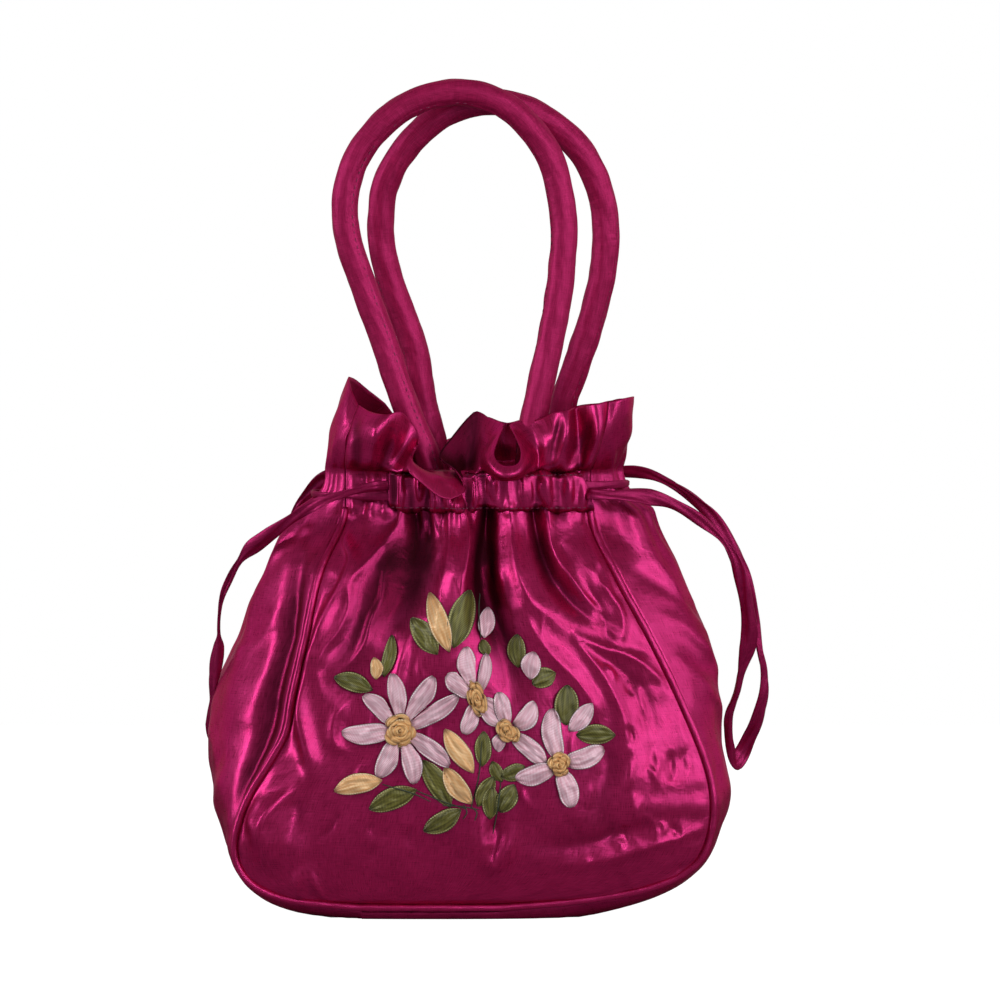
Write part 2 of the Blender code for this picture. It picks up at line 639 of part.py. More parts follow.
def petal_strip(start, tip, width, spray, widest=None):
    """Faces of one ribbon stitch, from its base to its drawn-in tip.

    widest gives the most half width on its left and on its right at a distance from the base, in a daisy.
    """
    along = Vector((tip[0] - start[0], tip[1] - start[1]))
    side = Vector((-along.y, along.x)).normalized()
    left, right = [], []
    for t, share in (*PETAL_OUTLINE, (1.0, TIP_LEAST_SHARE)):
        place = Vector(start) + along * t
        half = [width / 2 * share] * 2
        if widest:
            half = [min(half[0], most) for most in widest(along.length * t)]
        left.append(place + side * half[0])
        right.append(place - side * half[1])
    left, right = spray.drape(left), spray.drape(right)
    return [list(corners) for corners in zip(left, right, right[1:], left[1:])]


def make_stitches(spray, name, stitches, material):
    for number, (start, tip, share) in enumerate(stitches, 1):
        faces = petal_strip(spray_place(*start), spray_place(*tip), RIBBON_WIDTH * share, spray)
        spray.lay(f"{name}_{number:02d}", faces, material)


def make_daisy(spray, name, middle, core, petals, pink, gold):
    """Petals drawn out from one hub of crossing ribbon, and the wound centre that covers the hub."""
    x, z = spray_place(*middle)
    hub = RIBBON_WIDTH * HUB_SHARE
    order = sorted(petals)
    angles = [math.radians(petal[0]) for petal in order]
    free = [((angles[(i + 1) % len(order)] - angle) % (2 * math.pi)) / 2 for i, angle in enumerate(angles)]
    free = [PETAL_APART * min(angle, WIDEST_PETAL_ANGLE / 2) for angle in free]
    strips = []
    for i, (degrees, length, share) in enumerate(order):
        way = Vector((math.cos(math.radians(degrees)), math.sin(math.radians(degrees))))
        room = (free[i], free[i - 1])

        def widest(distance):
            return [(hub + distance) * math.tan(angle) for angle in room]

        start, tip = Vector((x, z)) + way * hub, Vector((x, z)) + way * length / 1000
        strips.append(petal_strip(start, tip, RIBBON_WIDTH * share, spray, widest))
    ring = [corner for strip in strips for corner in (strip[0][1], strip[0][0])]
    centre = spray.drape([(x, z)])[0]
    hub_faces = [[corner, following, centre] for corner, following in zip(ring, ring[1:] + ring[:1])]
    spray.lay(f"{name}_petals", hub_faces + [face for strip in strips for face in strip], pink)
    make_daisy_centre(spray, f"{name}_centre", (x, z), core, gold)


def make_daisy_centre(spray, name, middle, core, material):
    """A low dome of wound ribbon."""
    half_long, half_wide, degrees = core[0] / 1000, core[1] / 1000, math.radians(core[2])
    sides = 8
    long_way = Vector((math.cos(degrees), math.sin(degrees)))
    wide_way = Vector((-math.sin(degrees), math.cos(degrees)))
    rim = []
    for i in range(sides):
        angle = 2 * math.pi * i / sides
        place = Vector(middle) + long_way * half_long * math.cos(angle) + wide_way * half_wide * math.sin(angle)
        rim.append(tuple(place))
    ring = spray.drape(rim)
    centre = spray.drape([middle])[0]
    faces = [[corner, following, centre] for corner, following in zip(ring, ring[1:] + ring[:1])]
    spray.lay(name, faces, material, thick=CENTRE_HEIGHT)


def build():
    clear_scene()
    satin = make_material("satin", (0.27, 0.006, 0.08), 0.35, 0.2)
    lining = make_material("satin_strip", (0.24, 0.005, 0.07), 0.4, 0.2)
    cord = make_material("satin_cord", (0.30, 0.008, 0.10), 0.35, 0.2)
    pink = make_material("pink_ribbon", (0.62, 0.40, 0.50), 0.45)
    gold = make_material("gold_ribbon", (0.70, 0.40, 0.12), 0.45)
    green = make_material("green_ribbon", (0.10, 0.16, 0.03), 0.45)
    front = make_panel(FRONT, "front_panel", satin)
    back = make_panel(BACK, "back_panel", satin)
    gusset = make_gusset(satin)
    make_piping(FRONT, "front_piping", cord)
    make_piping(BACK, "back_piping", cord)
    make_casing(FRONT, "front_casing", lining)
    make_casing(BACK, "back_casing", lining)
    make_drawstring(LEFT, "drawstring_left", LEFT_LOOP, cord)
    make_drawstring(RIGHT, "drawstring_right", RIGHT_LOOP, cord)
    make_handle(FRONT, "handle_front", FRONT_ARCH, FRONT_FEET, (front, gusset), satin)
    make_handle(BACK, "handle_back", BACK_ARCH, BACK_FEET, (back, gusset), satin)
    spray = Spray(front)
    for name, middle, core, petals in DAISIES:
        make_daisy(spray, name, middle, core, petals, pink, gold)
    make_stitches(spray, "leaf", GREEN_LEAVES, green)
    make_stitches(spray, "gold_petal", GOLD_PETALS, gold)
    make_stitches(spray, "pink_petal", PINK_PETALS, pink)


build()
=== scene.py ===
"""Looks of a satin drawstring pouch with padded handles and ribbon daisies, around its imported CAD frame.

Metres, +Z up, the front faces -Y. Places on the front are drawn on a board whose unit is 0.4 mm: x runs to
the right and y runs down, with the pouch's middle at x = 465 and the floor at y = 918.
"""

import logging
import math
from dataclasses import dataclass, field
from enum import Enum
from functools import partial
from typing import Callable, Iterable, Sequence

import bpy
import numpy as np
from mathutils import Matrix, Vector, noise
from mathutils.bvhtree import BVHTree


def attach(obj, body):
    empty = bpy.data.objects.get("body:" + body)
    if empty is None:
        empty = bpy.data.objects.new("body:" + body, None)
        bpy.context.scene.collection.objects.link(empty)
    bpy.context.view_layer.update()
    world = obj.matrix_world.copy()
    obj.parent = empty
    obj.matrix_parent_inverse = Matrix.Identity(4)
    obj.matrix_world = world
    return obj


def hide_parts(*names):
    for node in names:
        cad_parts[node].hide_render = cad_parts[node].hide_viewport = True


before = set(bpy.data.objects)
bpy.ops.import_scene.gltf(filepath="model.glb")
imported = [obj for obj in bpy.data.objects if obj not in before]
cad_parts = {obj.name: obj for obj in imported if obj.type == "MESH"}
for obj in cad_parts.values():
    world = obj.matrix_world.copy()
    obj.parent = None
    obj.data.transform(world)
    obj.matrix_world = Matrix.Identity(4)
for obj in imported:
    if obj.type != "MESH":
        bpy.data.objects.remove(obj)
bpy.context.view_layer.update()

LOG = logging.getLogger("pouch")
UNIT = 0.0004
BOARD_MIDDLE = 465.0
BOARD_FLOOR = 918.0
MM = 0.001
BODY = "root"
WHITE = (1.0, 1.0, 1.0, 1.0)

# Settings that several nodes share.
CLOTH_MAP = {"uv_map": "cloth"}
# The mesh attribute of painted shade: how much darker each point of the cloth and ribbons is painted,
# strongest deep in folds and creases.
PAINTED_SHADE = {"attribute_name": "painted_shade"}
RGBA = {"data_type": "RGBA"}
TIMES_PLUS = {"operation": "MULTIPLY_ADD"}
TIMES = {"operation": "MULTIPLY"}
GREATER = {"operation": "MAXIMUM"}

Array = np.ndarray
Material = bpy.types.Material
Thing = bpy.types.Object
Tree = bpy.types.NodeTree


class Named(Enum):
    """A choice whose name in small letters is a part of the names of its pieces and fields."""

    @property
    def word(self) -> str:
        """The name as pieces and fields spell it."""
        return self.name.lower()


class Face(Named):
    """The two panels, by the way each one faces along Y."""

    FRONT = -1
    BACK = 1


class Side(Named):
    """The two sides of the gusset, by the way each one faces along X."""

    LEFT = -1
    RIGHT = 1


def from_board(x: Array, y: Array) -> tuple[Array, Array]:
    """Turns board places, to the right and down, into (x, z) in metres."""
    return (np.asarray(x) - BOARD_MIDDLE) * UNIT, (BOARD_FLOOR - np.asarray(y)) * UNIT


def to_board(points: Array) -> tuple[Array, Array]:
    """Reads points in metres as board places, to the right and down."""
    return points[..., 0] / UNIT + BOARD_MIDDLE, BOARD_FLOOR - points[..., 2] / UNIT


def linear(code: str) -> tuple[float, float, float, float]:
    """Turns an sRGB hex colour into a linear one.

    Args:
        code: the colour, such as "#9B1055".

    Returns:
        Red, green, blue and alpha.
    """
    values = [int(code[i : i + 2], 16) / 255 for i in (1, 3, 5)]
    values = [v / 12.92 if v <= 0.04045 else ((v + 0.055) / 1.055) ** 2.4 for v in values]
    return (*values, 1.0)


def feed(node: bpy.types.Node, inputs: dict) -> None:
    """Gives a node's inputs their values and links.

    Args:
        node: the node.
        inputs: a value or an output socket for each input, by name or by number.
    """
    for name, value in inputs.items():
        if isinstance(value, bpy.types.NodeSocket):
            node.id_data.links.new(value, node.inputs[name])
        else:
            node.inputs[name].default_value = value


def add_node(
    tree: Tree, kind: str, inputs: dict | None = None, settings: dict | None = None, out: int | str = 0
) -> bpy.types.NodeSocket | bpy.types.Node:
    """Adds a node with its settings, values and links.

    Args:
        tree: the tree that gets the node.
        kind: the node's type name.
        inputs: a value or an output socket for each input, by name or by number.
        settings: attributes of the node.
        out: which of its outputs to hand back.

    Returns:
        That output, or the node itself where it has none.
    """
    node = tree.nodes.new(kind)
    for name, value in (settings or {}).items():
        setattr(node, name, value)
    feed(node, inputs or {})
    return node.outputs[out] if node.outputs else node


def new_material(name: str) -> tuple[Material, Tree, bpy.types.Node]:
    """Makes a new material.

    Args:
        name: its name.

    Returns:
        The material, its node tree and the shader in it.
    """
    material = bpy.data.materials.new(name)
    material.use_nodes = True
    return material, material.node_tree, material.node_tree.nodes["Principled BSDF"]


def curve_at(outline: Sequence[tuple[float, float]], at: Array) -> Array:
    """Reads the smooth curve through an outline's points at many places.

    Args:
        outline: (place, value) points in order.
        at: the places to read.

    Returns:
        The values there.
    """
    xs, ys = np.array(outline, float).T
    before, after = np.maximum(np.arange(len(xs)) - 1, 0), np.minimum(np.arange(len(xs)) + 1, len(xs) - 1)
    slope = (ys[after] - ys[before]) / (xs[after] - xs[before])
    at = np.clip(np.asarray(at, float), xs[0], xs[-1])
    low = np.clip(np.searchsorted(xs, at, side="right") - 1, 0, len(xs) - 2)
    width = xs[low + 1] - xs[low]
    t = (at - xs[low]) / width
    return (
        ys[low] * (2 * t**3 - 3 * t**2 + 1)
        + width * slope[low] * (t**3 - 2 * t**2 + t)
        + ys[low + 1] * (3 * t**2 - 2 * t**3)
        + width * slope[low + 1] * (t**3 - t**2)
    )


def rounded(points: Array, steps: int) -> Array:
    """The smooth line through points of any number of values each.

    Args:
        points: the points, one a row.
        steps: how many steps to take between two points.

    Returns:
        The finer points.
    """
    points = np.asarray(points, float)
    ends = np.vstack([2 * points[0] - points[1], points, 2 * points[-1] - points[-2]])
    t = (np.arange(steps) / steps)[:, None]
    fine = [
        0.5 * (2 * b + (c - a) * t + (2 * a - 5 * b + 4 * c - d) * t**2 + (3 * b - a - 3 * c + d) * t**3)
        for a, b, c, d in zip(ends, ends[1:], ends[2:], ends[3:])
    ]
    return np.vstack([*fine, points[-1:]])


def along(points: Array) -> Array:
    """The running length at each point of a line."""
    return np.concatenate([[0.0], np.cumsum(np.linalg.norm(np.diff(points, axis=0), axis=1))])


def along_grid(grid: Array, axis: int) -> Array:
    """The running length of a grid of points along one of its two axes, as the mean over the other."""
    steps = np.linalg.norm(np.diff(grid, axis=axis), axis=2)
    return np.concatenate([[0], np.cumsum(steps.mean(1 - axis))])


def read_at(line: Array, at: Array) -> Array:
    """A line's points, and any other values in their rows, at running lengths along it."""
    run = along(line[:, :3])
    return np.stack([np.interp(at, run, line[:, k]) for k in range(line.shape[1])], axis=1)


def evened(points: Array, spacing: float) -> Array:
    """The line again with its points about this far apart, its two ends among them."""
    length = along(points)[-1]
    return read_at(points, np.linspace(0, length, max(2, round(length / spacing) + 1)))


def unit(vectors: Array) -> Array:
    """Vectors of length one in the same directions."""
    return vectors / np.maximum(np.linalg.norm(vectors, axis=-1, keepdims=True), 1e-12)


def eased(value: Array) -> Array:
    """A soft step from 0 at 0 to 1 at 1."""
    value = np.clip(value, 0, 1)
    return value * value * (3 - 2 * value)


def bell(value: Array, power: float = 2) -> Array:
    """A bump that is 1 at 0 and dies away beyond 1 on both sides."""
    return np.exp(-(value**power))


def crumple(x: Array, y: Array | float, size: float, seed: float) -> Array:
    """Soft noise over a grid of places.

    Args:
        x: first coordinate in metres.
        y: second coordinate in metres.
        size: how wide one bump is, in metres.
        seed: where in the noise to look.

    Returns:
        Values from about -1 to 1.
    """
    x, y = np.broadcast_arrays(x, y)
    flat = [noise.noise(Vector((a / size, b / size, seed))) for a, b in zip(np.ravel(x), np.ravel(y))]
    return np.array(flat).reshape(x.shape)


def put(name: str, data: bpy.types.ID) -> Thing:
    """Puts a new object in the scene.

    Args:
        name: its name.
        data: its mesh, lamp or camera.

    Returns:
        The object.
    """
    thing = bpy.data.objects.new(name, data)
    bpy.context.scene.collection.objects.link(thing)
    return thing


def link_mesh(
    name: str, verts: Array, faces: Sequence, uv: Array | None = None, painted_shade: Array | None = None
) -> Thing:
    """Makes a smooth mesh object at the origin.

    Args:
        name: the piece's name.
        verts: the vertices, one a row.
        faces: the faces' vertex numbers.
        uv: the place of each vertex on the flat cloth or ribbon.
        painted_shade: the shade painted at each vertex, from 0 to 1, strongest deep in a fold.

    Returns:
        The new object.
    """
    name = f"{name}_look"
    mesh = bpy.data.meshes.new(name)
    mesh.from_pydata(np.asarray(verts, float).tolist(), [], [tuple(int(i) for i in f) for f in faces])
    if uv is not None:
        index = np.zeros(len(mesh.loops), np.int64)
        mesh.loops.foreach_get("vertex_index", index)
        layer = mesh.uv_layers.new(name="cloth")
        layer.data.foreach_set("uv", np.asarray(uv, float)[index].ravel())
    if painted_shade is not None:
        depth = mesh.attributes.new("painted_shade", "FLOAT", "POINT")
        depth.data.foreach_set("value", np.ravel(painted_shade))
    mesh.shade_smooth()
    mesh.validate()
    return put(name, mesh)


def grid_faces(rows: int, columns: int, closed: bool = False) -> list[tuple[int, int, int, int]]:
    """Faces of a grid of vertices.

    Args:
        rows: how many rows it has.
        columns: how many vertices a row has.
        closed: whether each row joins its own end to its start.

    Returns:
        The faces, as vertex numbers.
    """
    faces = []
    for start in range(0, (rows - 1) * columns, columns):
        for c in range(columns if closed else columns - 1):
            following = (c + 1) % columns
            faces.append((start + c, start + following, start + columns + following, start + columns + c))
    return faces


def sheet_mesh(
    name: str, grid: Array, across: Array, up: Array, painted_shade: Array, thick: float, face: Face = Face.FRONT,
    offset: float = -1.0,
) -> Thing:
    """Makes a sheet of cloth.

    Args:
        name: the piece's name.
        grid: its points, by rows.
        across: each column's place on the flat cloth, in metres.
        up: each row's place on the flat cloth.
        painted_shade: the shade painted at each point, from 0 to 1, strongest deep in a fold.
        thick: how thick the cloth is.
        face: the way it faces. At the back the rows turn round, so that the sheet still faces out.
        offset: -1 lays the thickness inwards, and the inside then has a second material. 1 lays it outwards.

    Returns:
        The sheet with its thickness.
    """
    flat = np.stack(np.broadcast_arrays(across[None, :], up[:, None]), axis=-1)
    if face is Face.BACK:
        grid, flat, painted_shade = grid[:, ::-1], flat[:, ::-1], painted_shade[:, ::-1]
    thing = link_mesh(name, grid.reshape(-1, 3), grid_faces(*grid.shape[:2]), flat.reshape(-1, 2), painted_shade)
    return thicken(thing, thick, offset, lined=offset < 0)


def tube_mesh(name: str, centres: Array, across: Array, out: Array, ring: Callable[[int], Array]) -> Thing:
    """Makes a closed tube whose section may change along its line.

    Args:
        name: the piece's name.
        centres: the line's points.
        across: a unit vector across the line at each point.
        out: a unit vector at a right angle to both.
        ring: the section at a point's number, as (across, out) places in metres, anticlockwise.

    Returns:
        The tube with its two ends closed. Its flat map runs round the tube and along it, in metres.
    """
    run = along(centres)
    verts, flat, size = [], [], 0
    for i, centre in enumerate(centres):
        section = ring(i)
        size = len(section)
        verts.append(centre + section[:, :1] * across[i] + section[:, 1:] * out[i])
        girth = np.linalg.norm(np.roll(section, -1, axis=0) - section, axis=1).sum()
        flat.append(np.stack([np.arange(size) / size * girth, np.full(size, run[i])], axis=1))
    count = len(centres)
    faces = grid_faces(count, size, closed=True)
    first, last, start = count * size, count * size + 1, (count - 1) * size
    faces += [(first, (c + 1) % size, c) for c in range(size)]
    faces += [(last, start + c, start + (c + 1) % size) for c in range(size)]
    verts += [centres[:1], centres[-1:]]
    flat.append([[0, run[0]], [0, run[-1]]])
    return link_mesh(name, np.vstack(verts), faces, np.vstack(flat))


def round_section(angles: Array, radius: Array | float) -> Array:
    """The places of a round section, as (across, out) in metres."""
    return np.stack([np.cos(angles) * radius, np.sin(angles) * radius], axis=1)


def steady_frames(centres: Array, first: Sequence[float]) -> tuple[Array, Array, Array]:
    """Directions along, across and out at each point of a line, which turn as little as they can.

    Args:
        centres: the line's points.
        first: about which way across points at the start.

    Returns:
        The unit vectors along, across and out.
    """
    way = unit(np.gradient(centres, axis=0))
    across = np.zeros_like(way)
    current = np.asarray(first, float)
    for i, direction in enumerate(way):
        current = unit(current - direction * (current @ direction))
        across[i] = current
    return way, across, np.cross(way, across)


def thicken(thing: Thing, thick: float, offset: float = -1.0, lined: bool = False) -> Thing:
    """Gives a sheet its cloth thickness.

    Args:
        thing: the sheet.
        thick: how thick the cloth is, in metres.
        offset: -1 lays it inwards, 1 outwards.
        lined: whether the second material is the cloth's other side.

    Returns:
        The same object.
    """
    wall = thing.modifiers.new("Cloth thickness", "SOLIDIFY")
    wall.thickness = thick
    wall.offset = offset
    wall.material_offset = int(lined)
    return thing


def surface_of(thing: Thing) -> BVHTree:
    """The piece's finished surface, for laying other pieces on it."""
    bpy.context.view_layer.update()
    return BVHTree.FromObject(thing, bpy.context.evaluated_depsgraph_get())


@dataclass(frozen=True)
class Satin:
    """Polyester satin woven with long floats, which mirror light in streaks; painted shade adds to the folds'
    dark.
    """

    name: str
    # The shade colour is the darker threads' tone and also the painted shade of the mirror colour; the
    # darkest colour is the painted shade of the dyed colour.
    colour: str = "#9C0238"
    shade: str = "#66022A"
    painted_shade_colour: str = "#1C0008"
    floats: str = "#EE489C"
    knots: str = "#C22466"
    grazing: str = "#A02C6C"
    roughness: float = 0.30
    gloss: float = 0.45
    crumple_mm: float = 0.55
    thread_mm: float = 0.36

    def make(self) -> Material:
        """Makes the material, with its threads drawn coarser than the real 0.1 mm so that they show.

        Returns:
            The material.
        """
        material, tree, dyed = new_material(self.name)
        add = partial(add_node, tree)
        place = add("ShaderNodeUVMap", settings=CLOTH_MAP)
        painted_shade = add("ShaderNodeAttribute", settings=PAINTED_SHADE, out="Fac")
        pitch = self.thread_mm * MM
        threads = []
        for scale in ((1 / pitch, 1 / (14 * pitch), 1.0), (1 / (18 * pitch), 1 / pitch, 1.0)):
            drawn = add("ShaderNodeMapping", {"Vector": place, "Scale": scale})
            spun = {"Vector": drawn, "Scale": 1.0, "Detail": 2.0}
            threads.append(add("ShaderNodeTexNoise", spun))
        warp, weft = threads
        cloud = add("ShaderNodeTexNoise", {"Vector": place, "Scale": 60.0, "Detail": 3.0})
        mixed = add("ShaderNodeMath", {0: weft, 1: 0.7, 2: warp}, TIMES_PLUS)
        toned = add("ShaderNodeMath", {0: cloud, 1: 0.5, 2: mixed}, TIMES_PLUS)
        tone = add("ShaderNodeMapRange", {"Value": toned, "From Min": 0.75, "From Max": 1.45})
        dye = {0: tone, 6: linear(self.shade), 7: linear(self.colour)}
        lit = add("ShaderNodeMix", dye, RGBA, 2)
        # Painted shade: deep in the folds the dyed colour is painted towards its darkest colour and the
        # mirror colour towards the shade colour.
        colour = add("ShaderNodeMix", {0: painted_shade, 6: lit, 7: linear(self.painted_shade_colour)}, RGBA, 2)
        weave = {0: tone, 6: linear(self.knots), 7: linear(self.floats)}
        woven = add("ShaderNodeMix", weave, RGBA, 2)
        mirror = add("ShaderNodeMix", {0: painted_shade, 6: woven, 7: linear(self.shade)}, RGBA, 2)
        rough = {"To Min": self.roughness - 0.04, "To Max": self.roughness + 0.07}
        rough |= {"Value": mixed, "From Min": 0.6, "From Max": 1.1}
        roughness = add("ShaderNodeMapRange", rough)
        crumpled = {"Vector": place, "Scale": 85.0, "Detail": 3.5, "Distortion": 1.2}
        pressed = {"Height": add("ShaderNodeTexNoise", crumpled), "Strength": 0.5}
        creases = add("ShaderNodeBump", pressed | {"Distance": self.crumple_mm * MM})
        grain = {"Height": mixed, "Strength": 0.27, "Distance": 0.00008, "Normal": creases}
        floats = add("ShaderNodeBsdfPrincipled", {
            "Base Color": mirror, "Metallic": 1.0, "Roughness": roughness, "Anisotropic": 0.5,
            "Specular Tint": linear(self.grazing), "Normal": add("ShaderNodeBump", grain),
            "Tangent": add("ShaderNodeTangent", settings={"direction_type": "UV_MAP"} | CLOTH_MAP),
        })
        feed(dyed, {"Base Color": colour, "Normal": creases, "Roughness": 0.6, "Specular IOR Level": 0.1})
        both = add("ShaderNodeMixShader", {0: self.gloss, 1: dyed.outputs[0], 2: floats})
        feed(tree.nodes["Material Output"], {"Surface": both})
        return material


@dataclass(frozen=True)
class Ribbon:
    """Soft rayon ribbon, woven with fine slanting ribs and a corded edge that catches the light, with painted
    shade in its creases and a painted shadow along its rim.
    """

    name: str
    colour: str
    light: str
    edge: str
    painted_shade_colour: str
    roughness: float = 0.32
    rib_mm: float = 0.55
    width_mm: float = 7.0

    def make(self) -> Material:
        """Makes the material. Its map runs across the ribbon from 0 to 1 and along it in metres.

        Returns:
            The material.
        """
        material, tree, shader = new_material(self.name)
        add = partial(add_node, tree)
        place = add("ShaderNodeUVMap", settings=CLOTH_MAP)
        painted_shade = add("ShaderNodeAttribute", settings=PAINTED_SHADE, out="Fac")
        across, length = add("ShaderNodeSeparateXYZ", {0: place}).node.outputs[:2]
        off_middle = add("ShaderNodeMath", {0: across, 1: 0.5}, {"operation": "SUBTRACT"})
        to_edge = add("ShaderNodeMath", {0: off_middle}, {"operation": "ABSOLUTE"})
        scale = (self.width_mm / self.rib_mm, 1 / (self.rib_mm * MM), 1.0)
        slant = {"Vector": place, "Scale": scale, "Rotation": (0.0, 0.0, 0.55)}
        slanted = add("ShaderNodeMapping", slant)
        wave = {"Vector": slanted, "Scale": 0.32, "Distortion": 0.6, "Detail": 1.0}
        ribs = add("ShaderNodeTexWave", wave, {"bands_direction": "Y"}, "Fac")
        drawn = add("ShaderNodeMapping", {"Vector": place, "Scale": (9.0, 70.0, 1.0)})
        streaks = add("ShaderNodeTexNoise", {"Vector": drawn, "Scale": 1.0, "Detail": 3.0})
        woven = add("ShaderNodeMath", {0: ribs, 1: 0.26, 2: streaks}, TIMES_PLUS)
        tone = add("ShaderNodeMapRange", {"Value": woven, "From Min": 0.45, "From Max": 0.82})
        weave = {0: tone, 6: linear(self.colour), 7: linear(self.light)}
        plain = add("ShaderNodeMix", weave, RGBA, 2)
        # Painted shade: in its creases and at its ends the ribbon is painted towards its darkest colour.
        base = add("ShaderNodeMix", {0: painted_shade, 6: plain, 7: linear(self.painted_shade_colour)}, RGBA, 2)
        turns = add("ShaderNodeMath", {0: length, 1: 6500.0}, TIMES)
        beads = add("ShaderNodeMath", {0: turns}, {"operation": "SINE"})
        corded = add("ShaderNodeMapRange", {"Value": to_edge, "From Min": 0.40, "From Max": 0.43})
        bound = {"Value": beads, "From Min": -0.6, "From Max": 0.5, "To Min": 0.25, "To Max": 1.0}
        beaded = add("ShaderNodeMapRange", bound)
        edge = add("ShaderNodeMath", {0: corded, 1: beaded}, TIMES)
        lit = add("ShaderNodeMix", {0: edge, 6: base, 7: linear(self.edge)}, RGBA, 2)
        # Painted shadow: a dark line of the darkest colour along the outermost rim, where the ribbon meets
        # what lies under it.
        rim = add("ShaderNodeMapRange", {"Value": to_edge, "From Min": 0.455, "From Max": 0.49})
        colour = add("ShaderNodeMix", {0: rim, 6: lit, 7: linear(self.painted_shade_colour)}, RGBA, 2)
        height = add("ShaderNodeMath", {0: edge, 1: 1.6, 2: ribs}, TIMES_PLUS)
        bump = add("ShaderNodeBump", {"Height": height, "Strength": 0.5, "Distance": 0.00012})
        feed(shader, {
            "Base Color": colour, "Normal": bump, "Roughness": self.roughness, "Metallic": 0.18,
            "Sheen Weight": 0.06, "Anisotropic": 0.4,
        })
        return material


@dataclass(frozen=True)
class Thread:
    """Spun polyester sewing thread, which is matt with a faint twist."""

    name: str
    colour: str
    roughness: float = 0.6
    dark_share: float = 0.55

    def make(self) -> Material:
        """Makes the material.

        Returns:
            The material.
        """
        material, tree, shader = new_material(self.name)
        add = partial(add_node, tree)
        place = add("ShaderNodeTexCoord", out="Object")
        diagonal = {"bands_direction": "DIAGONAL"}
        twist = add("ShaderNodeTexWave", {"Vector": place, "Scale": 900.0}, diagonal, "Fac")
        dark = (*(self.dark_share * c for c in linear(self.colour)[:3]), 1.0)
        colour = add("ShaderNodeMix", {0: twist, 6: dark, 7: linear(self.colour)}, RGBA, 2)
        feed(shader, {"Base Color": colour, "Roughness": self.roughness, "Sheen Weight": 0.2})
        return material


def made(finish: Satin | Ribbon | Thread) -> Material:
    """A field that holds a finish's material, made when the finishes are."""
    return field(default_factory=finish.make)


@dataclass
class Finishes:
    """All the materials of the pouch, each one made once."""

    satin: Material = made(Satin("magenta_satin"))
    strip: Material = made(Satin("magenta_satin_casing", crumple_mm=0.35))
    reverse: Material = made(Satin("magenta_satin_reverse", roughness=0.36, gloss=0.3, crumple_mm=0.25))
    tape: Material = made(
        Satin("magenta_satin_tape", "#8A043C", "#5A0228", roughness=0.40, gloss=0.24, crumple_mm=0.8)
    )
    handle: Material = made(Satin("magenta_satin_bias", roughness=0.48, gloss=0.30, crumple_mm=0.7))
    pink: Material = made(Ribbon("pink_rayon_ribbon", "#E09CB0", "#FFE0EC", "#FFF0F6", "#5A2C40"))
    gold: Material = made(Ribbon("gold_rayon_ribbon", "#F0A862", "#FFDCA8", "#FFE8BE", "#5A260C"))
    wound: Material = made(
        Ribbon("gold_rayon_ribbon_wound", "#E0924A", "#FFD898", "#FFE2B0", "#361004", 0.24)
    )
    green: Material = made(Ribbon("green_rayon_ribbon", "#34340E", "#86823A", "#B8B47A", "#0C1206"))
    stitch: Material = made(Thread("magenta_sewing_thread", "#8A1450"))
    stem: Material = made(Thread("green_embroidery_thread", "#2C3A20"))


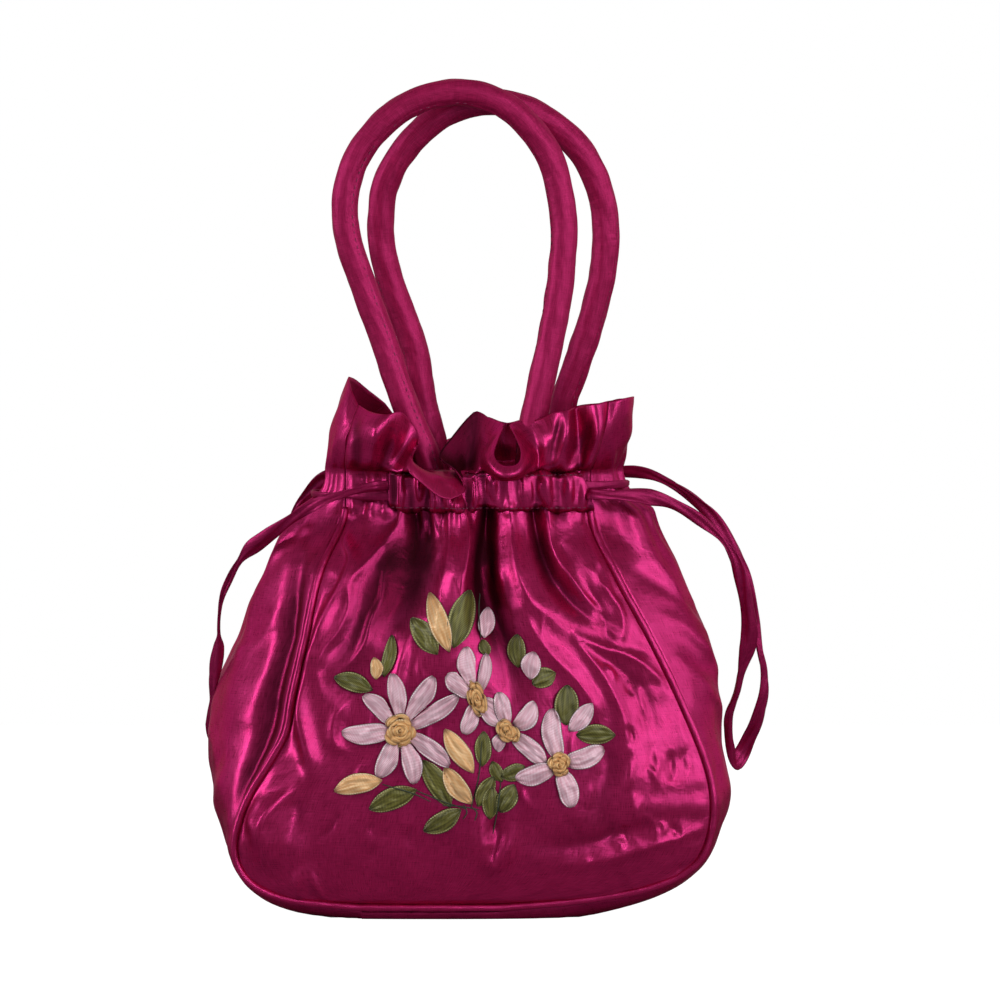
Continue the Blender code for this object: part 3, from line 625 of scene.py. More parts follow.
@dataclass(frozen=True)
class Cut:
    """The pouch's own outlines, the same as the CAD model's, as shares of its half width and half depth."""

    half_width: float = 0.1045
    half_depth: float = 0.0375
    casing_height: float = 0.171
    casing_band: float = 0.016
    casing_ends: tuple[float, float] = (0.19, 0.98)
    frill: float = 0.034
    puff: float = 0.012
    low_rise: float = 0.03
    base_drop: float = 0.09
    piping_room: float = 0.0014
    panel_power: float = 2.6
    front_left: tuple = (
        (0.03, -0.40), (0.045, -0.64), (0.077, -0.79), (0.13, -0.865), (0.20, -0.88), (0.30, -0.83),
        (0.40, -0.735), (0.46, -0.685), (0.56, -0.655), (0.69, -0.61), (0.85, -0.555), (1.0, -0.46),
        (2.0, -0.45),
    )
    front_right: tuple = (
        (0.03, 0.14), (0.045, 0.42), (0.077, 0.70), (0.13, 0.87), (0.20, 0.935), (0.30, 0.95),
        (0.40, 0.915), (0.56, 0.81), (0.69, 0.71), (0.85, 0.575), (1.0, 0.48), (2.0, 0.52),
    )
    back_left: tuple = (
        (0.03, -0.45), (0.045, -0.66), (0.077, -0.78), (0.13, -0.86), (0.20, -0.91), (0.30, -0.93),
        (0.46, -0.89), (0.69, -0.77), (0.85, -0.64), (1.0, -0.46), (2.0, -0.45),
    )
    back_right: tuple = (
        (0.03, 0.30), (0.045, 0.52), (0.077, 0.72), (0.13, 0.85), (0.20, 0.90), (0.30, 0.92),
        (0.46, 0.88), (0.69, 0.77), (0.85, 0.62), (1.0, 0.48), (2.0, 0.52),
    )
    left_depth: tuple = (
        (0.03, 0.93), (0.13, 0.97), (0.30, 1.0), (0.69, 0.95), (0.85, 0.75), (1.0, 0.30), (2.0, 0.36),
    )
    right_depth: tuple = (
        (0.03, 0.93), (0.13, 0.97), (0.30, 1.0), (0.69, 0.95), (0.85, 0.82), (1.0, 0.53), (2.0, 0.56),
    )
    panel_puff: tuple = (
        (0.03, 0.10), (0.077, 0.35), (0.13, 0.55), (0.20, 0.75), (0.30, 0.95), (0.46, 1.0), (0.69, 0.95),
        (0.85, 0.85), (1.0, 0.87), (2.0, 1.0),
    )
    left_puff: tuple = (
        (0.03, 0.07), (0.045, 0.055), (0.077, 0.04), (0.13, 0.028), (0.20, 0.035), (0.30, 0.085),
        (0.40, 0.152), (0.46, 0.182), (0.56, 0.188), (0.645, 0.166), (0.69, 0.158), (0.76, 0.168),
        (0.85, 0.172), (0.94, 0.205), (0.98, 0.205), (1.0, 0.180), (1.02, 0.130), (1.05, 0.085),
        (1.1, 0.072), (2.0, 0.072),
    )
    right_puff: tuple = (
        (0.03, 0.09), (0.045, 0.075), (0.077, 0.055), (0.13, 0.042), (0.20, 0.048), (0.30, 0.080),
        (0.40, 0.088), (0.46, 0.104), (0.56, 0.147), (0.645, 0.175), (0.72, 0.200), (0.79, 0.220),
        (0.85, 0.232), (0.94, 0.242), (0.98, 0.245), (1.0, 0.230), (1.02, 0.180), (1.05, 0.130),
        (1.1, 0.110), (2.0, 0.110),
    )

    @property
    def low(self) -> float:
        """The height of the lowest row of the sides, where the gusset turns under."""
        return self.body_top * self.low_rise

    @property
    def body_top(self) -> float:
        """Where the casing's band starts."""
        return self.casing_height - self.casing_band / 2

    @property
    def frill_foot(self) -> float:
        """Where the casing's band ends and the frill starts."""
        return self.casing_height + self.casing_band / 2

    def heights(self, body_rows: int, band_rows: int, power: float) -> Array:
        """The heights of the rows below the casing, closer together at the bottom, and of those behind it."""
        body = self.low + (self.body_top - self.low) * np.linspace(0, 1, body_rows) ** power
        return np.concatenate([body, np.linspace(self.body_top, self.frill_foot, band_rows + 1)[1:]])

    def rise(self, z: Array) -> Array:
        """The rise at a height: 0 on the floor, 1 all over the casing and 2 at the hem."""
        z = np.asarray(z, float)
        above = np.maximum(z - self.frill_foot, 0) / self.frill
        return np.where(z <= self.body_top, z / self.body_top, 1 + above)

    def depth_at(self, side: Side, z: Array) -> Array:
        """How far each seam of the gusset lies from the middle, by height."""
        return curve_at(getattr(self, f"{side.word}_depth"), self.rise(z)) * self.half_depth

    def puff_at(self, side: Side, z: Array) -> Array:
        """How far the gusset stands out past its seams, by height."""
        return curve_at(getattr(self, f"{side.word}_puff"), np.asarray(z) / self.body_top) * self.half_width

    def side_stretch(self, side: Side, z: Array) -> Array:
        """How much longer the gusset's surface beside its seam is than its depth there."""
        return np.sqrt(1 + (self.panel_power * self.puff_at(side, z) / self.depth_at(side, z)) ** 2)

    def seam_inset(self, z: Array) -> Array:
        """How far the cloth stops short of the seam: room for the piping below, hardly any at the neck."""
        closing = eased((np.asarray(z) - self.body_top + 0.004) / 0.003)
        return self.piping_room + (0.0002 - self.piping_room) * closing

    def seam(self, face: Face, side: Side, z: Array) -> Array:
        """Where a panel meets one side of the gusset, a point for each height."""
        x = curve_at(getattr(self, f"{face.word}_{side.word}"), self.rise(z)) * self.half_width
        return np.stack([x, face.value * self.depth_at(side, z), np.asarray(z, float)], axis=-1)

    def panel(self, face: Face, z: Array, across: Array) -> tuple[Array, Array]:
        """A panel's surface without its folds.

        Args:
            face: which panel.
            z: the rows' heights.
            across: each row's places, from -1 at the left seam to 1 at the right, a row for each height.

        Returns:
            The points, and the level directions out of the pouch.
        """
        left, right = self.seam(face, Side.LEFT, z)[:, None], self.seam(face, Side.RIGHT, z)[:, None]
        puff = self.puff * curve_at(self.panel_puff, self.rise(z))[:, None]

        def at(place: Array) -> Array:
            """The surface at places across."""
            point = left + (right - left) * ((place + 1) / 2)[..., None]
            point[..., 1] += face.value * puff * (1 - np.abs(place) ** self.panel_power)
            return point

        run = at(across + 0.01) - at(across - 0.01)
        out = unit(np.stack([run[..., 1], -run[..., 0], np.zeros_like(run[..., 0])], axis=-1)) * -face.value
        return at(across), out

    def side(self, side: Side, z: Array, across: Array) -> tuple[Array, Array]:
        """One side of the gusset without its folds.

        Args:
            side: which side.
            z: the rows' heights.
            across: each row's places, from -1 at the front seam to 1 at the back.

        Returns:
            The points, and the directions out of the pouch.
        """
        front, back = self.seam(Face.FRONT, side, z)[:, None], self.seam(Face.BACK, side, z)[:, None]
        puff = self.puff_at(side, z)[:, None]
        above = self.rise(z) - self.low_rise
        angle = math.pi / 2 * (1 - np.clip(above / 0.27, 0, 1)) ** 2
        way = np.stack([side.value * np.cos(angle), np.zeros_like(angle), -np.sin(angle)], axis=-1)[:, None]
        power = (6.0 - 3.6 * np.clip(above / 0.17, 0, 1))[:, None]

        def at(place: Array) -> Array:
            """The surface at places across."""
            point = front + (back - front) * ((place + 1) / 2)[..., None]
            return point + way * (puff * (1 - np.abs(place) ** power))[..., None]

        run = at(across + 0.01) - at(across - 0.01)
        out = way * run[..., 1:2] - np.array([0, 1, 0]) * (run * way).sum(-1, keepdims=True)
        return at(across), unit(out)

    def base(self, share: Array, across: Array) -> Array:
        """The gusset under the pouch.

        Args:
            share: how far each row is from the left to the right, from 0 to 1.
            across: each row's places from the front to the back.

        Returns:
            The points.
        """
        z, places = np.full(1, self.low), 2 * share[None, :] - 1
        front, back = self.panel(Face.FRONT, z, places)[0][0], self.panel(Face.BACK, z, places)[0][0]
        point = front[:, None] + (back - front)[:, None] * ((across + 1) / 2)[..., None]
        point[..., 2] -= self.base_drop * self.half_width * (1 - np.abs(across) ** 6.0)
        return point


@dataclass(frozen=True)
class Fold:
    """A ridge or valley of the cloth. Each station of its line is (x, y, half width, height in mm)."""

    stations: tuple
    crisp: float = 2.0
    lean: float = 0.0


def relief(folds: Iterable[Fold], x: Array, y: Array) -> tuple[Array, Array]:
    """How far the folds move the cloth.

    Args:
        folds: the ridges and valleys.
        x: each point's first place on the drawing.
        y: each point's second place on the drawing.

    Returns:
        The move outwards, and the move along x that makes a fold lean over, both in metres.
    """
    out, over = np.zeros(x.shape), np.zeros(x.shape)
    for fold in folds:
        line = rounded(np.array(fold.stations, float), 4)
        reach = 2.8 * line[:, 2].max()
        low, high = line[:, :2].min(0) - reach, line[:, :2].max(0) + reach
        inside = (x > low[0]) & (x < high[0]) & (y > low[1]) & (y < high[1])
        px, py = x[inside], y[inside]
        best, value = np.full(px.shape, np.inf), np.zeros(px.shape)
        for a, b in zip(line, line[1:]):
            d = b[:2] - a[:2]
            t = np.clip(((px - a[0]) * d[0] + (py - a[1]) * d[1]) / max(d @ d, 1e-9), 0, 1)
            far = np.hypot(px - a[0] - t * d[0], py - a[1] - t * d[1])
            width = np.maximum(a[2] + (b[2] - a[2]) * t, 0.5)
            here = (a[3] + (b[3] - a[3]) * t) * bell(far / width, fold.crisp)
            near = far < best
            best, value = np.where(near, far, best), np.where(near, here, value)
        out[inside] += value * MM
        over[inside] += value * MM * fold.lean
    return out, over


# The folds of the panels, as they lie in the photo on the front and as such a pouch has them behind.
FRONT_FOLDS = (
    Fold(((340, 516, 5, 1.0), (348, 540, 5, 2.4), (355, 556, 6, 2.8), (349, 573, 6, 2.8),
          (341, 590, 7, 3.0), (330, 612, 7, 3.2), (320, 636, 8, 3.4), (309, 664, 9, 3.8),
          (304, 693, 9, 4.2), (306, 718, 9, 4.2), (311, 742, 9, 3.6), (314, 766, 9, 2.4),
          (308, 786, 9, 0.8)), 1.7, -0.3),
    Fold(((388, 526, 12, -1.4), (380, 560, 17, -3.0), (366, 604, 19, -3.0), (350, 644, 17, -2.0),
          (338, 680, 14, -0.6)), 2.4),
    Fold(((366, 514, 16, 0.8), (372, 540, 18, 1.2), (360, 580, 18, 1.0), (342, 620, 18, 1.2),
          (330, 660, 18, 1.8), (322, 700, 18, 2.2), (322, 745, 20, 1.6), (326, 780, 22, 0.6)), 2.4),
    Fold(((276, 786, 22, 1.6), (276, 828, 24, 5.4), (296, 866, 22, 1.8)), 2.4),
    Fold(((324, 560, 5, -1.0), (314, 596, 6, -3.0), (301, 640, 6, -4.0), (286, 680, 5, -4.0),
          (281, 715, 5, -3.0), (284, 745, 6, -0.8)), 2.0),
    Fold(((298, 782, 7, 0.8), (280, 798, 8, 3.0), (264, 820, 8, 3.4), (265, 845, 8, 2.4),
          (262, 870, 8, 0.5)), 1.6),
    Fold(((258, 792, 5, 0.4), (250, 808, 5, 1.6), (256, 830, 5, 1.6), (254, 850, 5, 0.4)), 1.5),
    Fold(((318, 770, 9, -0.6), (296, 812, 11, -2.0), (288, 845, 10, -1.6), (286, 872, 8, -0.4))),
    Fold(((400, 515, 4, 1.6), (398, 524, 4, 2.4), (385, 541, 5, 2.6), (368, 560, 5, 2.6),
          (353, 580, 5, 2.4), (350, 604, 5, 2.0), (341, 626, 5, 2.0), (327, 647, 5, 1.8),
          (320, 669, 6, 1.6), (325, 694, 6, 0.6)), 1.35),
    Fold(((386, 548, 4, 0.6), (384, 570, 4, 1.6), (381, 596, 4, 1.9), (371, 618, 4, 1.9),
          (365, 640, 5, 1.8), (350, 662, 5, 1.4), (334, 674, 6, 0.5)), 1.3),
    Fold(((416, 508, 10, -4.0), (420, 538, 17, -7.5), (414, 568, 21, -8.0), (404, 600, 19, -6.0),
          (392, 628, 15, -3.4), (384, 650, 12, -0.8)), 2.6),
    Fold(((461, 506, 9, 4.5), (462, 540, 11, 6.0), (458, 566, 13, 6.0), (452, 600, 16, 5.0),
          (446, 638, 22, 3.6), (446, 676, 28, 2.2), (444, 708, 30, 0.6)), 3.0, 0.2),
    Fold(((449, 514, 3, 1.0), (449, 545, 3.5, 1.8), (444, 568, 3.5, 1.8), (439, 586, 4, 1.6),
          (438, 606, 5, 1.2), (430, 634, 6, 0.6)), 1.3),
    Fold(((467, 514, 4, 1.2), (468, 545, 4, 1.4), (461, 576, 5, 1.3), (456, 602, 6, 0.5)), 1.4),
    Fold(((489, 508, 7, -6.0), (485, 545, 11, -9.0), (484, 577, 13, -9.5), (490, 606, 15, -8.0),
          (501, 636, 16, -5.6), (512, 668, 15, -3.0), (520, 700, 12, -0.6)), 2.4),
    Fold(((511, 508, 6, 2.6), (514, 545, 7, 4.4), (519, 574, 9, 4.8), (531, 597, 12, 4.4),
          (551, 612, 14, 2.6), (572, 630, 14, 0.8)), 1.7),
    Fold(((522, 604, 6, 0.8), (535, 628, 7, 2.0), (553, 651, 7, 2.2), (577, 675, 8, 2.0),
          (594, 700, 8, 1.6), (600, 732, 8, 0.5)), 1.5, -0.3),
    Fold(((536, 508, 6, -3.6), (540, 540, 8, -6.5), (548, 566, 9, -6.0), (562, 590, 9, -4.4),
          (578, 607, 8, -2.4), (592, 617, 6, -0.6))),
    Fold(((548, 512, 3, 1.0), (552, 545, 4, 2.2), (568, 572, 4, 2.4), (588, 598, 4, 2.2),
          (606, 611, 4, 0.8)), 1.3),
    Fold(((574, 520, 11, 1.0), (582, 548, 13, 2.4), (596, 576, 13, 2.4), (606, 598, 10, 1.0)), 2.2),
    Fold(((591, 566, 4, 0.5), (604, 586, 4, 2.0), (617, 603, 5, 2.4), (622, 622, 5, 2.0),
          (620, 640, 5, 0.6)), 1.4),
    Fold(((586, 586, 5, -0.6), (598, 604, 5, -1.6), (607, 622, 6, -1.8), (606, 640, 5, -0.6))),
    Fold(((575, 632, 4, 0.8), (602, 644, 5, 2.2), (630, 653, 5, 2.4), (650, 668, 6, 2.0),
          (663, 680, 6, 0.8)), 1.4),
    Fold(((576, 638, 4, 0.6), (594, 660, 5, 2.2), (605, 676, 6, 2.4), (619, 704, 7, 2.4),
          (626, 728, 8, 2.0), (640, 770, 10, 0.8)), 1.4),
    Fold(((598, 652, 5, -0.6), (624, 672, 8, -1.8), (642, 694, 9, -1.6), (652, 720, 9, -0.6))),
    Fold(((618, 560, 4, 0.5), (628, 590, 4, 1.6), (636, 615, 4, 1.4), (640, 636, 4, 0.4)), 1.3),
    Fold(((612, 520, 3, 0.5), (622, 545, 4, 1.4), (630, 566, 4, 0.6)), 1.3),
    Fold(((655, 790, 36, 2.2), (660, 830, 30, 2.6), (640, 860, 26, 1.0)), 2.2),
    Fold(((560, 862, 6, 0.4), (604, 856, 7, 1.8), (652, 842, 7, 2.0), (698, 828, 6, 0.6)), 1.5),
    Fold(((540, 842, 8, -0.4), (590, 838, 9, -1.6), (640, 824, 9, -1.4), (684, 812, 7, -0.4))),
    Fold(((598, 720, 10, -0.6), (606, 760, 13, -1.8), (600, 800, 15, -1.6), (612, 840, 14, -0.5))),
    Fold(((480, 812, 8, 0.6), (482, 840, 10, 3.4), (493, 860, 11, 3.6), (507, 844, 10, 3.2),
          (512, 816, 8, 0.6)), 2.0),
    Fold(((352, 690, 5, 0.5), (338, 712, 6, 1.8), (336, 738, 6, 1.6), (350, 748, 6, 0.4)), 1.5),
    Fold(((408, 632, 6, 0.6), (402, 655, 6, 1.9), (396, 680, 6, 1.6), (390, 700, 6, 0.4)), 1.5),
    Fold(((447, 690, 5, 0.4), (455, 672, 5, 1.6), (462, 652, 5, 0.4)), 1.5),
    Fold(((300, 866, 4, 0.4), (297, 884, 4, 1.8), (300, 898, 5, 0.5)), 1.4),
    Fold(((312, 868, 4, 0.3), (318, 886, 4, 1.8), (326, 900, 5, 0.5)), 1.4),
    Fold(((350, 820, 7, 0.3), (344, 850, 7, 1.2), (340, 882, 6, 0.4)), 1.6),
)

# Painted shade on the front between the ridges, drawn as folds whose height is the share of painted shade.
FRONT_SHADES = (
    Fold(((396, 524, 14, 0.3), (386, 562, 20, 0.6), (373, 604, 22, 0.6), (354, 642, 18, 0.45),
          (340, 690, 16, 0.15)), 2.4),
    Fold(((478, 516, 10, 0.2), (482, 560, 14, 0.35), (490, 610, 16, 0.35), (506, 650, 16, 0.15)), 2.0),
)

BACK_FOLDS = (
    Fold(((372, 512, 8, 3.0), (360, 560, 10, 4.0), (336, 620, 12, 3.4), (312, 690, 14, 2.4),
          (300, 770, 18, 0.8))),
    Fold(((398, 512, 8, -3.5), (390, 560, 11, -5.0), (372, 620, 13, -3.4), (352, 690, 14, -1.0))),
    Fold(((424, 512, 8, 3.6), (420, 560, 10, 4.6), (408, 620, 13, 4.0), (396, 690, 18, 2.2),
          (388, 780, 22, 0.6)), 1.8),
    Fold(((452, 512, 8, -4.0), (452, 560, 11, -5.6), (448, 610, 13, -3.6), (444, 660, 14, -1.0))),
    Fold(((480, 512, 9, 4.0), (484, 560, 11, 4.6), (492, 620, 14, 3.6), (506, 690, 20, 2.0),
          (516, 770, 24, 0.6)), 1.8),
    Fold(((508, 512, 8, -3.6), (518, 560, 11, -5.0), (532, 610, 13, -3.4), (548, 660, 14, -0.8))),
    Fold(((534, 512, 8, 3.0), (548, 560, 10, 4.2), (574, 620, 13, 3.4), (604, 690, 18, 2.0),
          (620, 770, 22, 0.6)), 1.8),
    Fold(((566, 512, 7, -2.6), (584, 560, 10, -3.4), (612, 620, 12, -2.0), (636, 680, 12, -0.6))),
    Fold(((590, 520, 7, 1.6), (612, 570, 9, 2.6), (648, 650, 11, 2.4), (672, 730, 14, 1.4),
          (676, 800, 16, 0.4)), 1.7),
    Fold(((320, 760, 10, 0.4), (352, 800, 14, 1.6), (410, 826, 16, 1.8), (470, 830, 16, 0.6)), 1.8),
    Fold(((500, 800, 10, 0.4), (560, 826, 14, 1.6), (620, 816, 14, 1.2), (660, 790, 12, 0.3)), 1.8),
    Fold(((300, 640, 7, 0.4), (286, 690, 9, 2.2), (280, 750, 10, 2.0), (290, 810, 10, 0.6)), 1.7),
)

# On the gusset a fold is drawn in millimetres: depth from the front to the back, then height.
LEFT_FOLDS = (
    Fold(((-8, 160, 3.5, 1.2), (-6, 140, 4, 1.8), (-4, 115, 6, 1.4), (-6, 90, 8, 0.4)), 1.7),
    Fold(((6, 160, 3.5, -1.6), (7, 140, 4.5, -2.2), (9, 118, 6, -1.4), (10, 100, 7, -0.3))),
    Fold(((16, 156, 3.5, 1.2), (19, 135, 4.5, 2.0), (20, 110, 6, 1.6), (18, 80, 8, 0.4)), 1.7),
    Fold(((-26, 132, 4, 0.4), (-18, 112, 4, 1.2), (-6, 106, 4, 1.0), (6, 108, 4, 0.2)), 1.5),
    Fold(((-22, 60, 6, 0.4), (-8, 48, 7, 1.2), (10, 44, 7, 1.0), (24, 52, 6, 0.2)), 1.8),
)
RIGHT_FOLDS = (
    Fold(((-14, 160, 3.5, 1.4), (-18, 142, 4, 2.0), (-14, 124, 5, 1.6), (-6, 110, 6, 0.4)), 1.6),
    Fold(((-26, 140, 3.5, -0.6), (-16, 128, 4, -1.6), (-4, 120, 4, -1.4), (8, 118, 4, -0.3)), 1.8),
    Fold(((-28, 122, 3.5, 0.6), (-16, 110, 4, 1.8), (-4, 100, 5, 1.4), (8, 94, 5, 0.3)), 1.6),
    Fold(((-30, 104, 3.5, 0.6), (-20, 92, 4, 1.6), (-8, 84, 5, 1.2), (6, 80, 5, 0.2)), 1.6),
    Fold(((4, 160, 3.5, -1.6), (6, 142, 4.5, -2.2), (8, 122, 6, -1.0), (8, 105, 6, -0.2))),
    Fold(((15, 158, 3.5, 1.2), (19, 138, 4.5, 2.0), (20, 112, 6, 1.4), (16, 84, 8, 0.3)), 1.7),
    Fold(((-20, 50, 6, 0.3), (-4, 42, 7, 1.2), (14, 46, 7, 0.8), (24, 56, 6, 0.2)), 1.8),
)

# The frill's middle and hem, as (across, x, y, depth, x, y, depth), with the depths in millimetres.
FRONT_FRILL = (
    (-1.00, 347, 440, -20, 358, 405, -14), (-0.92, 358, 438, -28, 371, 411, -25),
    (-0.82, 376, 440, -32, 387, 413, -31), (-0.74, 392, 443, -27, 401, 411, -27),
    (-0.67, 402, 450, -23, 412, 423, -21), (-0.61, 409, 455, -27, 419, 436, -23),
    (-0.54, 410, 456, -33, 414, 450, -33), (-0.44, 414, 462, -38, 410, 468, -43),
    (-0.32, 428, 472, -38, 424, 482, -45), (-0.22, 443, 478, -37, 440, 494, -45),
    (-0.15, 453, 480, -35, 453, 496, -42), (-0.09, 461, 480, -31, 466, 486, -36),
    (-0.06, 463, 475, -28, 456, 468, -33), (-0.03, 461, 467, -26, 440, 455, -30),
    (0.00, 465, 459, -22, 452, 437, -22), (0.03, 473, 452, -20, 472, 414, -11),
    (0.05, 477, 450, -21, 480, 413, -10), (0.08, 481, 450, -24, 490, 419, -13),
    (0.12, 483, 452, -28, 503, 424, -19), (0.16, 483, 456, -34, 498, 438, -29),
    (0.20, 486, 463, -39, 494, 451, -38), (0.26, 496, 473, -44, 500, 461, -44),
    (0.32, 508, 476, -46, 510, 463, -46), (0.38, 520, 472, -44, 519, 459, -43),
    (0.43, 528, 464, -38, 521, 448, -36), (0.47, 532, 455, -32, 515, 434, -27),
    (0.50, 534, 450, -28, 510, 424, -19), (0.54, 539, 447, -26, 524, 421, -18),
    (0.59, 547, 444, -28, 538, 419, -21), (0.65, 556, 442, -34, 554, 411, -30),
    (0.71, 566, 440, -35, 567, 409, -32), (0.77, 574, 445, -25, 575, 407, -21),
    (0.86, 586, 440, -29, 586, 404, -29), (0.93, 596, 438, -32, 597, 402, -32),
    (1.00, 602, 440, -28, 608, 400, -27),
)
FRILL_FOLDS = (
    Fold(((347, 404, 5, 0.5), (344, 422, 5, 2.8), (343, 442, 5, 3.0), (347, 462, 4, 1.2)), 1.7),
    Fold(((359, 412, 5, -0.4), (357, 436, 6, -2.4), (357, 462, 5, -2.0))),
    Fold(((378, 420, 6, 0.4), (374, 442, 6, 2.4), (368, 464, 5, 1.6)), 1.8),
    Fold(((392, 426, 4, -0.3), (388, 446, 5, -2.0), (380, 466, 4, -1.4))),
    Fold(((414, 452, 4, 0.6), (428, 464, 4, 2.2), (444, 478, 4, 2.0), (458, 488, 4, 0.6)), 1.4),
    Fold(((536, 424, 6, 0.4), (544, 440, 7, 2.4), (546, 464, 6, 1.6)), 2.2),
    Fold(((562, 412, 4, -0.4), (558, 432, 5, -2.6), (550, 462, 5, -2.0))),
    Fold(((574, 412, 5, 0.4), (572, 434, 6, 2.6), (564, 466, 5, 1.8)), 1.8),
    Fold(((590, 418, 4, -0.4), (585, 440, 5, -2.8), (578, 468, 5, -2.0))),
    Fold(((608, 410, 5, 0.6), (602, 434, 5, 2.8), (592, 466, 5, 2.0)), 1.6),
)
BACK_FRILL = (
    (-1.00, 352, 440, 22, 384, 408, 26), (-0.80, 376, 446, 30, 392, 420, 34),
    (-0.62, 394, 448, 26, 402, 432, 26), (-0.46, 412, 450, 32, 418, 444, 38),
    (-0.30, 430, 452, 26, 436, 450, 27), (-0.14, 446, 452, 34, 452, 446, 40),
    (0.02, 464, 450, 27, 468, 432, 28), (0.18, 482, 448, 34, 486, 424, 40),
    (0.34, 502, 446, 27, 506, 428, 28), (0.50, 524, 446, 33, 528, 424, 38),
    (0.66, 548, 444, 26, 552, 420, 27), (0.82, 572, 442, 32, 578, 412, 36),
    (1.00, 592, 442, 25, 604, 408, 26),
)
LEFT_FRILL = (
    (-1.00, 347, 440, -20, 358, 405, -14), (-0.60, 336, 432, -14, 350, 388, -8),
    (-0.20, 331, 428, -4, 348, 379, 2), (0.20, 333, 428, 6, 356, 384, 12),
    (0.60, 340, 434, 14, 370, 396, 20), (1.00, 352, 440, 22, 384, 408, 26),
)
RIGHT_FRILL = (
    (-1.00, 602, 440, -28, 608, 400, -27), (-0.60, 616, 436, -24, 622, 398, -26),
    (-0.25, 629, 434, -14, 634, 397, -14), (0.10, 630, 436, -2, 632, 400, 0),
    (0.40, 624, 440, 10, 628, 402, 14), (0.70, 610, 440, 18, 620, 404, 24),
    (1.00, 592, 442, 25, 604, 408, 26),
)

# Narrow pleats at the neck: (board x, half width, height in mm, reach below the casing in mm).
FRONT_PLEATS = (
    (352, 4, 1.0, 3), (363, 4, -1.2, 3), (374, 5, 1.2, 3), (386, 4, 1.2, 3), (396, 3, -1.6, 5),
    (404, 3, 1.6, 6), (413, 3, -1.4, 9), (421, 2.5, 1.4, 12), (428, 2.2, -1.6, 10), (434, 2.4, 1.5, 12),
    (442, 2.5, -1.4, 9), (450, 3, 1.5, 12), (459, 3, 1.2, 5), (468, 2.5, -1.2, 5), (476, 3, 1.2, 8),
    (484, 3, -1.8, 9), (494, 4, 1.2, 6), (508, 6, 1.6, 3), (522, 4, 1.2, 4), (534, 3.5, -2.0, 6),
    (545, 5, 1.6, 4), (556, 3, -1.4, 3), (566, 6, 1.8, 4), (579, 4, 1.2, 3), (587, 2.5, -1.0, 3),
)
BACK_PLEATS = (
    (352, 4, 1.2, 8), (362, 3, -1.4, 10), (372, 4, 1.6, 8), (384, 3, -1.6, 12), (394, 3.5, 1.8, 8),
    (404, 3, -1.4, 10), (416, 4, 1.8, 12), (427, 3, -1.6, 8), (438, 4, 1.6, 10), (449, 3, -1.8, 12),
    (460, 4, 1.8, 8), (472, 3, -1.4, 12), (483, 4, 1.8, 8), (494, 3, -1.6, 10), (505, 3.5, 1.6, 12),
    (516, 3, -1.6, 8), (528, 4, 1.8, 10), (540, 3, -1.4, 12), (552, 4, 1.6, 8), (564, 3, -1.6, 10),
    (576, 4, 1.6, 8),
)


def pleats_at(pleats: Sequence[tuple], x: Array, below: Array | float = 0.0) -> Array:
    """The neck's narrow pleats.

    Args:
        pleats: (board x, half width, height in millimetres, reach below the casing in millimetres) of each.
        x: places on the board.
        below: how far below the casing each place is, in metres.

    Returns:
        How far the cloth stands out there, in metres.
    """
    total = np.zeros(np.shape(x))
    lower = np.maximum(np.asarray(below, float), 0)
    for middle, width, height, reach in pleats:
        spread = 1 + lower / 0.016
        total += height * MM * bell((x - middle) / (width * spread)) * bell(lower / (reach * MM), 1.5)
    return total


def scattered_folds(
    seed: int, count: int, region: tuple[int, int, int, int], tall: float = 1.0
) -> tuple[Fold, ...]:
    """Small creases that fan out from the neck.

    Args:
        seed: sets where they lie.
        count: how many there are.
        region: the least and greatest board x and the least and greatest board y.
        tall: how high they are, as a share of the usual.

    Returns:
        The creases.
    """
    chance = np.random.default_rng(seed)
    left, right, top, bottom = region
    folds = []
    for _ in range(count):
        x, y = chance.uniform(left, right), top + (bottom - top) * chance.uniform(0, 1) ** 1.3
        way = unit(np.array([x - BOARD_MIDDLE, 1.6 * (y - 400.0)]))
        turn = chance.uniform(-0.45, 0.45)
        cos, sin = math.cos(turn), math.sin(turn)
        way = np.array([way[0] * cos - way[1] * sin, way[0] * sin + way[1] * cos])
        side = np.array([-way[1], way[0]])
        length, bend = chance.uniform(14, 38), chance.uniform(-7, 7)
        width, height = chance.uniform(2.5, 5.0), tall * chance.uniform(0.35, 0.95)
        height *= chance.choice([-1, 1, 1])
        stations = []
        for s, h in ((-0.5, 0.1), (-0.2, height), (0.15, height), (0.5, 0.1)):
            place = np.array([x, y]) + way * length * s + side * bend * (1 - s * s * 4)
            stations.append((*place, width, h))
        folds.append(Fold(tuple(stations), 1.5))
    return tuple(folds)


@dataclass
class FrillShape:
    """The free edge above the casing, as a middle line and a hem line that each run from seam to seam."""

    table: tuple

    def line(self, first: int, across: Array) -> Array:
        """One of the two lines.

        Args:
            first: the table's column where its places start.
            across: the places across to read, from -1 to 1.

        Returns:
            The line's points.
        """
        x, y, depth = (curve_at([(row[0], row[first + k]) for row in self.table], across) for k in range(3))
        x, z = from_board(x, y)
        return np.stack([x, depth * MM, z], axis=-1)

    def points(self, neck: Array, across: Array, up: Array) -> Array:
        """The frill's surface.

        Args:
            neck: the cloth's points at the top of the casing.
            across: their places across.
            up: the rows' shares of the way to the hem.

        Returns:
            A grid of points.
        """
        v = up[:, None, None]
        to_middle, to_hem = self.line(1, across) * (4 * v - 4 * v * v), self.line(4, across) * (2 * v * v - v)
        return neck * (2 * v * v - 3 * v + 1) + to_middle + to_hem


